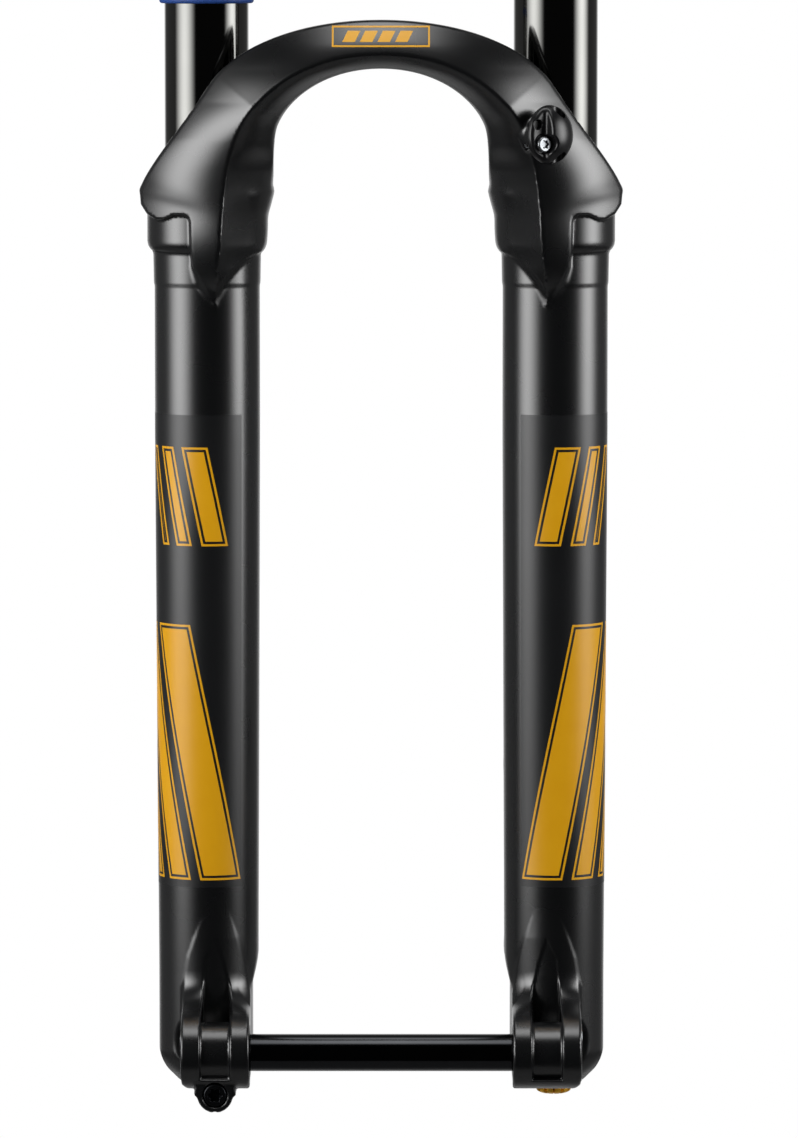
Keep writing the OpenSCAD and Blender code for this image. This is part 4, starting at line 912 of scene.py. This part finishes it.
def shell(grid, place, lift, thick):
    """Thin closed skin: the flat grid is laid on a surface by place at two heights, and the
    two sheets are joined along their edges. The sign of the volume inside shows which way
    round the faces have to run."""
    flat, wrap = grid
    rows, columns = flat.shape[:2]
    flat = flat.reshape(-1, 2)
    points = np.concatenate([place(flat, lift + thick), place(flat, lift)])
    upper = grid_faces(rows, columns, wrap_rows=wrap)
    number = np.arange(rows * columns).reshape(rows, columns)
    loops = [number[:, 0], number[::-1, -1]] if wrap else [
        np.concatenate([number[:-1, 0], number[-1, :-1], number[:0:-1, -1], number[0, :0:-1]])]
    total = rows * columns
    walls = [np.stack([k, np.roll(k, -1), np.roll(k, -1) + total, k + total], axis=1) for k in loops]
    faces = np.concatenate([upper, upper[:, ::-1] + total, *walls])
    a, b, c, d = (points[faces[:, k]] - points.mean(axis=0) for k in range(4))
    volume = (np.cross(c - a, d - b) * (a + b + c + d)).sum()
    return points, faces if volume > 0 else faces[:, ::-1]


def on_leg(s, side):
    """Lays unrolled points on a leg: a point at arc length a outboard of the front line sits
    at angle a / r round the leg."""
    def place(flat, lift):
        angle, z = flat[:, 0] / (s.leg_d / 2), flat[:, 1]
        r = leg_radius(z, s) + lift
        return put_on_leg(np.stack([side * r * np.sin(angle), -r * np.cos(angle), z], axis=1), side)

    return place


def on_arch(s):
    """Lays front-view points on the front face of the arch."""
    front = front_map(s)

    def place(flat, lift):
        y = front.read(front.front, flat[:, 0], flat[:, 1])
        return np.stack([flat[:, 0], LEG_Y + y - lift, COLLAR_Z + flat[:, 1]], axis=1)

    return place


def slanted(low, high, bottom, top, lean, inset=0.0):
    """Corners of a slanted bar, drawn in by inset on all edges."""
    k = lean / (top - bottom)
    a, b = low + inset * math.hypot(1, k), high - inset * math.hypot(1, k)
    return [[a + k * inset, bottom + inset], [b + k * inset, bottom + inset],
            [b + lean - k * inset, top - inset], [a + lean - k * inset, top - inset]]


# Decals on a leg, from the front line outboard and up from the axle: the film's left, right,
# lower and upper edge, and each bar's left and right edge, lower and upper end and lean.
FILM = (-15.5, 54, 65, 257)
BARS = [(-15, 3, 68, 172, 22), (7, 18, 68, 172, 22), (22, 28, 68, 172, 22),
        (-9, 2, 204, 244, 8.5), (6, 13, 204, 244, 8.5), (17, 21, 204, 244, 8.5)]
BAR_INSETS = (0, 0.9, 1.9)


class FORK_OT_decals(bpy.types.Operator):
    """Lays the clear film and the slanted gold bars on the legs and the arch"""
    bl_idname = "fork.decals"
    bl_label = "Decals"

    def execute(self, context):
        s = sizes_mm()
        left, right = FILM[:2]
        low, high = AXLE_Z + FILM[2], AXLE_Z + FILM[3]
        for name, side in SIDES.items():
            place = on_leg(s, side)
            film = panel([[left, low], [right, low], [right, high], [left, high]], 96)
            make_piece(f"decal_film_{name}", shell(film, place, -0.02, 0.07), "lowers", PAINT,
                       finish="film", crease=40)
            for k, (a, b, bottom, top, lean) in enumerate(BARS):
                outer, middle, fill = (
                    slanted(a, b, AXLE_Z + bottom, AXLE_Z + top, lean, inset) for inset in BAR_INSETS)
                self.mark(f"decal_line_{name}_{k + 1}", shell(border(outer, middle), place, 0.03, 0.06))
                self.mark(f"decal_bar_{name}_{k + 1}", shell(panel(fill), place, 0.03, 0.06))
        place = on_arch(s)
        plate = border(*(slanted(-19.5, 19.5, 55.4, 63.8, 0, inset) for inset in (0, 0.7)))
        bars = [panel(slanted(a, a + 5, 57.4, 61.8, 2.2), 16) for a in (-15.4, -8.4, -1.4, 5.6)]
        for k, grid in enumerate([plate, *bars]):
            self.mark(f"decal_arch_{k + 1}", shell(grid, place, 0.02, 0.06))
        return {"FINISHED"}

    def mark(self, name, surface):
        """One printed shape."""
        make_piece(name, surface, "lowers", "gold_anodised", finish="print", crease=40)


# Tubes, seals and rings


class FORK_OT_tubes(bpy.types.Operator):
    """Turns the stanchions, the steerer, the seals and the sag ring"""
    bl_idname = "fork.tubes"
    bl_label = "Stanchions, steerer, seals and ring"

    def execute(self, context):
        low, high = STANCHION_LOW[2], STANCHION_HIGH[2]
        wall = 2.5
        outside = rounded([
            [STANCHION_R - wall, low], [STANCHION_R - 1.2, low], [STANCHION_R, low + 2.4],
            [STANCHION_R, high], [STANCHION_R - wall, high]], 0.5)
        lip = STANCHION_R + 0.05
        seal = rounded([
            [lip, SEAL_LOW], [SEAL_R, SEAL_LOW], [SEAL_R, COLLAR_Z + 0.1], [SEAL_R - 1.2, COLLAR_Z + 0.5],
            [SEAL_R - 2.0, COLLAR_Z + 1.7], [lip + 1.1, SEAL_TOP - 0.3], [lip + 0.5, SEAL_TOP],
            [lip, SEAL_TOP - 0.8]], 0.4)
        for name, side in SIDES.items():
            make_piece(f"stanchion_{name}", turned_on_leg(outside, side, 160), "uppers", "gloss_black_tube",
                       [f"{name}_stanchion"], crease=40)
            make_piece(f"wiper_{name}", turned_on_leg(seal, side, 128), "lowers", "black_rubber",
                       [f"{name}_wiper_seal"])
        ring_low, ring_high = box_mm("sag_ring")
        mid, half = (ring_low[2] + ring_high[2]) / 2, (ring_high[2] - ring_low[2]) / 2
        reach = (ring_high[0] - ring_low[0]) / 2
        a = np.linspace(0, 2 * np.pi, 24, endpoint=False)
        bead = np.stack([np.maximum(reach - half + half * np.cos(a), lip), mid + half * np.sin(a)], axis=1)
        make_piece("sag_ring_blue", turned_on_leg(bead, SIDES["air"], 128), "sag_indicator", "blue_rubber",
                   ["sag_ring"])
        self.steerer()
        return {"FINISHED"}

    def steerer(self):
        """Tapered tube with the race seat and its wider foot pressed into the crown."""
        low, high = (v[2] for v in box_mm("steerer_tube"))
        foot, race, top, foot_bore, top_bore = 18.5, 19.9, 14.3, 15.5, 11.7
        race_top, taper_top = 10, 106
        profile = rounded([
            [foot_bore, low], [foot, low], [foot, 0], [race, 0], [race, race_top], [19.05, race_top + 1],
            [top, taper_top], [top, high], [top_bore, high], [top_bore, taper_top],
            [foot_bore, race_top + 1]], 0.6)
        make_piece("steerer", lathe(profile, 160), "uppers", "black_anodised", ["steerer_tube"], crease=30)


# Crown, axle and knobs


def crown_field(x, y, z):
    """Field of the forged crown: its plan seen from above and its front outline overlapped with
    broad rounded edges, less the pockets under the arms, the sockets and the steerer hole."""
    ax, leg = np.abs(x), y - LEG_Y
    rho, axis = np.hypot(ax - LEG_X, leg), np.hypot(x, y)
    socket, head, half = STANCHION_R + 5.5, 27, 18
    arm = outline(x, y, [
        [-LEG_X, LEG_Y - half], [0, -24], [LEG_X, LEG_Y - half], [LEG_X, LEG_Y + half], [0, 24],
        [-LEG_X, LEG_Y + half]])
    plan = either(either(axis - head, rho - socket, 6), arm, 8)
    inner, bottom = LEG_X - socket, box_mm("crown")[0][2]
    front = outline(ax, z, [
        [-40, 0], [23, 0], [30, -2], [inner + 4, -8], [LEG_X + socket + 9, -8], [LEG_X + socket + 9, bottom],
        [inner, bottom], [inner - 6, bottom + 6], [head, bottom + 6], [-40, bottom + 6]])
    body = both(plan, front, 3.0)
    pocket = np.maximum(np.maximum(plan + 4.5, head - axis), socket - rho)
    body = less(body, both(pocket, z + 17, 2.0), 1.0)
    body = less(body, axis - 18.52, 0.5)
    return less(body, rho - STANCHION_R - 0.02, 0.5)


class FORK_OT_crown(bpy.types.Operator):
    """Forges the crown"""
    bl_idname = "fork.crown"
    bl_label = "Crown"

    def execute(self, context):
        low, high = box_mm("crown")
        surface = level_surface(crown_field, low - 2, high + 2, 0.8)
        make_piece("crown_forging", surface, "uppers", "black_anodised", ["crown"])
        return {"FINISHED"}


class FORK_OT_axle(bpy.types.Operator):
    """Turns the hollow thru-axle with a round socket recess at one end"""
    bl_idname = "fork.axle"
    bl_label = "Thru-axle"

    def execute(self, context):
        low, high = box_mm("thru_axle")
        bore, socket = 5, 6
        points, faces = lathe(rounded([
            [bore, low[0] + 9], [socket, low[0] + 8.5], [socket, low[0]], [AXLE_R, low[0]], [AXLE_R, high[0]],
            [bore, high[0]]], 0.5), 128)
        make_piece("axle", (lay_along_x(points), faces), "axle", "black_anodised", ["thru_axle"],
                   finish="axle", crease=30)
        return {"FINISHED"}


class FORK_OT_adjusters(bpy.types.Operator):
    """Turns the fluted knobs and the valve cap"""
    bl_idname = "fork.adjusters"
    bl_label = "Knobs"

    def execute(self, context):
        knobs = [("rebound_knob", "rebound_adjuster", "gold_anodised", 1, 1.7),
                 ("compression_knob", "low_speed_adjuster", "blue_anodised", 1, 0.8),
                 ("air_valve_cap", "uppers", "blue_anodised", -1, 0.6)]
        for node, body, slot, side, depth in knobs:
            low, high = box_mm(node)
            reach = (high[0] - low[0]) / 2
            tall = high[2] - low[2]
            free, way = (low[2], 1) if low[2] < AXLE_Z else (high[2], -1)
            profile = [[0.01, free], [0.72 * reach, free], [0.96 * reach, free + way * 0.24 * tall],
                       [reach, free + way * 0.5 * tall], [reach, free + way * tall],
                       [0.01, free + way * tall]]
            points, faces = fluted(rounded(profile[::way], 0.5), 12, depth)
            make_piece(f"{node}_turned", (put_on_leg(points, side), faces), body, slot, [node], crease=40)
        return {"FINISHED"}


# Hose guide, bolts and the other pieces


def hose_guide_field(x, y, z):
    """Field of the moulded guide: half an egg on the arch, cut down along its inner side for
    the bolt and a moulded eye, less the hose bore."""
    u, v, w = guide_axes(x, y, z)
    egg = (np.hypot(np.hypot((u - 2.2) / 10.4, v / 11.9), w / 8.4) - 1) * 9
    body = both(egg, -w, 0.3)
    bolt, eye = np.hypot(u - GUIDE_BOLT[0], v - GUIDE_BOLT[1]), np.hypot(u + 4.6, v - 4.2)
    scoop = both(u + 1.0, 2.8 - w, 1.5)
    body = less(body, either(scoop, np.maximum(bolt - 3.5, 2.6 - w), 1.0), 1.0)
    body = less(body, np.hypot(u - 4.6, w - 3.6) - 2.6, 0.4)
    body = less(body, bolt - 2.02, 0.1)
    return less(body, np.maximum(eye - 1.9, 0.9 - w), 0.4)


def star(u, v, r):
    """Distance to a six-lobed drive socket: a circle whose radius r swings with six times the angle."""
    return np.hypot(u, v) - r * (1 + 0.16 * np.cos(6 * np.arctan2(v, u)))


def pinch_bolt_field(x, y, z):
    """Field of the pinch bolt: a round head with a star socket, and its shank."""
    lat, depth, rise = LEG_X + x - DROP_MID, y - LEG_Y - DROP_Y, z - PINCH_Z
    rho = np.hypot(lat, rise)
    head = both(rho - 4.6, slab(depth, -9.5, -5.5), 0.7)
    shank = np.maximum(rho - 2.5, slab(depth, -7, 8.5))
    return less(np.minimum(head, shank), np.maximum(star(lat, rise, 2.5), depth + 6.6), 0.25)


def guide_bolt_field(x, y, z):
    """Field of the hose guide's bolt: a round head with a star socket, and its shank."""
    u, v, w = guide_axes(x, y, z)
    u, v = u - GUIDE_BOLT[0], v - GUIDE_BOLT[1]
    rho = np.hypot(u, v)
    head = both(rho - 3.1, slab(w, 2.8, 4.6), 0.6)
    shank = np.maximum(rho - 2.0, slab(w, -8, 3))
    return less(np.minimum(head, shank), np.maximum(star(u, v, 1.5), 3.5 - w), 0.15)


class FORK_OT_guide(bpy.types.Operator):
    """Moulds the hose guide and makes its bolt and the pinch bolt"""
    bl_idname = "fork.guide"
    bl_label = "Hose guide and bolts"

    def execute(self, context):
        work = [("hose_guide", hose_guide_field, "black_plastic", 0.3),
                ("hose_guide_bolt", guide_bolt_field, "steel", 0.2),
                ("pinch_bolt", pinch_bolt_field, "black_steel", 0.2)]
        for node, field, slot, step in work:
            low, high = box_mm(node)
            make_piece(f"{node}_fine", level_surface(field, low - 1, high + 1, step), "lowers", slot, [node])
        return {"FINISHED"}


class FORK_OT_inner_pieces(bpy.types.Operator):
    """Gives every piece that keeps its solid the finish of its material slot"""
    bl_idname = "fork.inner_pieces"
    bl_label = "Finishes of the other pieces"

    def execute(self, context):
        for part in frame["record"]["subparts"]:
            solid = frame["nodes"][part["node"]]
            solid.data.materials.clear()
            solid.data.materials.append(material_of(part["material_slot"]))
        return {"FINISHED"}


# Stage


class ForkStage(bpy.types.PropertyGroup):
    """Camera and light"""
    distance: length("Camera distance", "From the camera to the point it looks at", 2800)
    elevation: bpy.props.FloatProperty(
        name="Elevation", description="Camera above the horizon", default=math.radians(5.3), subtype="ANGLE")
    lens: bpy.props.FloatProperty(name="Lens", description="Focal length in millimetres", default=218.7)
    side_power: bpy.props.FloatProperty(
        name="Side light", description="Power of a side softbox per metre of width", default=31.0)
    top_power: bpy.props.FloatProperty(
        name="Top light", description="Power of the overhead softbox", default=42.0)


# Point that the camera looks at, in millimetres, and the side softboxes, in metres: side, degrees
# from straight ahead, width, height of the middle and gain. Both stand LAMP_AWAY from the z axis.
AIM = (7.2, -20.0, -357.0)
LAMP_AWAY, LAMP_TALL = 1.4, 1.75
SIDE_LAMPS = {"left": (-1, 62.5, 1.8, 0.125, 1.12), "right": (1, 75, 1.4, 0.195, 1.25)}
SMOOTH = {"interpolation_type": "SMOOTHSTEP"}
TIMES = {"operation": "MULTIPLY"}
FLOAT = {"data_type": "FLOAT"}


class FORK_OT_stage(bpy.types.Operator):
    """Sets the camera, the softboxes, the floor and the white surroundings"""
    bl_idname = "fork.stage"
    bl_label = "Stage"

    def execute(self, context):
        stage = context.scene.fork_stage
        context.scene.view_settings.view_transform = "Standard"
        self.camera(context, stage)
        for name, (side, turn, wide, rise, gain) in SIDE_LAMPS.items():
            turn = math.radians(turn)
            place = Vector((side * LAMP_AWAY * math.sin(turn), -LAMP_AWAY * math.cos(turn), rise))
            power = stage.side_power * wide * gain
            self.softbox(context, f"softbox_{name}", place, Vector((0, 0, rise)), (wide, LAMP_TALL), power)
        over, below = Vector((0, 0.1, 1.3)), Vector((0, 0.1, 0))
        self.softbox(context, "softbox_top", over, below, (1.3, 2.6), stage.top_power)
        self.world(context)
        self.floor(context)
        return {"FINISHED"}

    def camera(self, context, stage):
        """Camera that looks along +y and a little down, from the set distance."""
        data = bpy.data.cameras.new("camera")
        data.lens, data.sensor_width = stage.lens, 36.0
        camera = bpy.data.objects.new("camera", data)
        back = Vector((0, -math.cos(stage.elevation), math.sin(stage.elevation)))
        camera.location = Vector(AIM) * MM + back * stage.distance
        camera.rotation_mode = "QUATERNION"
        camera.rotation_quaternion = (-back).to_track_quat("-Z", "Y")
        context.scene.collection.objects.link(camera)
        context.scene.camera = camera

    def softbox(self, context, name, place, aim, size, power):
        """Rectangular lamp that faces a point and dims from its middle towards its edges."""
        data = bpy.data.lights.new(name, "AREA")
        data.shape, data.size, data.size_y, data.energy = "RECTANGLE", size[0], size[1], power
        data.use_nodes = True
        tree = data.node_tree
        tree.nodes.clear()
        across = add(tree, "ShaderNodeNewGeometry").outputs["Parametric"]
        share = add(tree, "ShaderNodeSeparateXYZ", Vector=across)
        level = None
        for way, dark, bright in (("X", 0.0, 0.5), ("X", 1.0, 0.5), ("Y", 0.0, 0.22), ("Y", 0.88, 0.5)):
            fade = add(tree, "ShaderNodeMapRange", SMOOTH, Value=share.outputs[way],
                       From_Min=dark, From_Max=bright).outputs[0]
            if level is not None:
                fade = add(tree, "ShaderNodeMath", TIMES, _0=level, _1=fade).outputs[0]
            level = fade
        glow = add(tree, "ShaderNodeEmission", Strength=level)
        add(tree, "ShaderNodeOutputLight", Surface=glow.outputs[0])
        lamp = bpy.data.objects.new(name, data)
        lamp.location = place
        lamp.rotation_mode = "QUATERNION"
        lamp.rotation_quaternion = (aim - place).to_track_quat("-Z", "Y")
        context.scene.collection.objects.link(lamp)

    def world(self, context):
        """White for camera rays. Reflections see white behind the object, grey walls beside it
        and a dim studio in front."""
        world = bpy.data.worlds.new("studio")
        context.scene.world = world
        world.use_nodes = True
        tree = world.node_tree
        tree.nodes.clear()
        path = add(tree, "ShaderNodeLightPath")
        place = add(tree, "ShaderNodeTexCoord").outputs["Generated"]
        depth = add(tree, "ShaderNodeSeparateXYZ", Vector=place).outputs["Y"]
        wall = add(tree, "ShaderNodeMapRange", SMOOTH, Value=depth,
                   From_Min=-0.15, From_Max=0.2, To_Min=0.012, To_Max=0.14).outputs[0]
        behind = add(tree, "ShaderNodeMapRange", SMOOTH, Value=depth,
                     From_Min=0.8, From_Max=0.97, To_Min=0.0, To_Max=0.8).outputs[0]
        behind = add(tree, "ShaderNodeMath", {"operation": "ADD"}, _0=wall, _1=behind).outputs[0]
        shiny = add(tree, "ShaderNodeMath", {"operation": "MAXIMUM"}, _0=path.outputs["Is Glossy Ray"],
                    _1=path.outputs["Is Transmission Ray"]).outputs[0]
        reflected = add(tree, "ShaderNodeMix", FLOAT, _0=shiny, _2=0.12, _3=behind).outputs[0]
        strength = add(tree, "ShaderNodeMix", FLOAT, _0=path.outputs["Is Camera Ray"],
                       _2=reflected, _3=1.0).outputs[0]
        sky = add(tree, "ShaderNodeBackground", Color=(1, 1, 1, 1), Strength=strength)
        add(tree, "ShaderNodeOutputWorld", Surface=sky.outputs[0])

    def floor(self, context):
        """A wide pale disc well under the fork, fading to white at its rim. Reflections see it
        darker away from its middle, as if it lay in the shade there."""
        z, reach, middle = AXLE_Z - 620, 1900, 1250
        a = np.linspace(0, 2 * np.pi, 128, endpoint=False)
        r = np.array([1.0, 0.5, 0.001])[:, None] * reach
        points = np.stack([r * np.cos(a), middle + r * np.sin(a), z + 0 * r * a], axis=-1).reshape(-1, 3)
        faces = grid_faces(3, len(a), wrap_columns=True)
        mesh = bpy.data.meshes.new("floor")
        mesh.from_pydata((points * MM).tolist(), [], faces.tolist())
        material = bpy.data.materials.new("pale_paper")
        material.use_nodes = True
        tree = material.node_tree
        tree.nodes.clear()
        camera_ray = add(tree, "ShaderNodeLightPath").outputs["Is Camera Ray"]
        place = add(tree, "ShaderNodeTexCoord").outputs["Object"]
        away = add(tree, "ShaderNodeVectorMath", {"operation": "DISTANCE"}, _0=place,
                   _1=(0, middle * MM, z * MM)).outputs["Value"]
        rim = add(tree, "ShaderNodeMapRange", SMOOTH, Value=away,
                  From_Min=0.9, From_Max=1.85, To_Min=0.6, To_Max=1.0).outputs[0]
        seen = add(tree, "ShaderNodeMath", TIMES, _0=rim, _1=camera_ray).outputs[0]
        shade = add(tree, "ShaderNodeMapRange", SMOOTH, Value=away,
                    From_Min=0.5, From_Max=1.25, To_Min=0.9, To_Max=0.2).outputs[0]
        pale = add(tree, "ShaderNodeMath", TIMES, _0=camera_ray, _1=0.9).outputs[0]
        shade = add(tree, "ShaderNodeMath", {"operation": "MAXIMUM"}, _0=shade, _1=pale).outputs[0]
        paper = add(tree, "ShaderNodeBsdfDiffuse", Color=shade)
        white = add(tree, "ShaderNodeEmission", Color=(1, 1, 1, 1), Strength=1.0)
        mix = add(tree, "ShaderNodeMixShader", _0=seen, _1=paper.outputs[0], _2=white.outputs[0])
        add(tree, "ShaderNodeOutputMaterial", Surface=mix.outputs[0])
        mesh.materials.append(material)
        floor = bpy.data.objects.new("floor", mesh)
        context.scene.collection.objects.link(floor)


STEPS = [
    FORK_OT_stage, FORK_OT_inner_pieces, FORK_OT_casting_top, FORK_OT_legs, FORK_OT_feet, FORK_OT_decals,
    FORK_OT_tubes, FORK_OT_crown, FORK_OT_axle, FORK_OT_adjusters, FORK_OT_guide,
]


class FORK_PT_looks(bpy.types.Panel):
    """Sidebar panel with the sizes, the colours and one button for each step"""
    bl_idname = "FORK_PT_looks"
    bl_label = "Suspension fork"
    bl_space_type = "VIEW_3D"
    bl_region_type = "UI"
    bl_category = "Fork"

    def draw(self, context):
        for group in (context.scene.fork_sizes, context.scene.fork_colours, context.scene.fork_stage):
            for name in type(group).__annotations__:
                self.layout.prop(group, name)
        for step in STEPS:
            self.layout.operator(step.bl_idname)


CLASSES = [ForkSizes, ForkColours, ForkStage, *STEPS, FORK_PT_looks]


def register():
    """Registers the classes and hangs the settings on the scene."""
    for cls in CLASSES:
        bpy.utils.register_class(cls)
    bpy.types.Scene.fork_sizes = bpy.props.PointerProperty(type=ForkSizes)
    bpy.types.Scene.fork_colours = bpy.props.PointerProperty(type=ForkColours)
    bpy.types.Scene.fork_stage = bpy.props.PointerProperty(type=ForkStage)


def unregister():
    """Takes the settings and the classes away again."""
    del bpy.types.Scene.fork_sizes, bpy.types.Scene.fork_colours, bpy.types.Scene.fork_stage
    for cls in reversed(CLASSES):
        bpy.utils.unregister_class(cls)


def main():
    """Registers the classes and runs every step in order."""
    register()
    for step in STEPS:
        group, name = step.bl_idname.split(".")
        getattr(getattr(bpy.ops, group), name)()


if __name__ == "__main__":
    main()
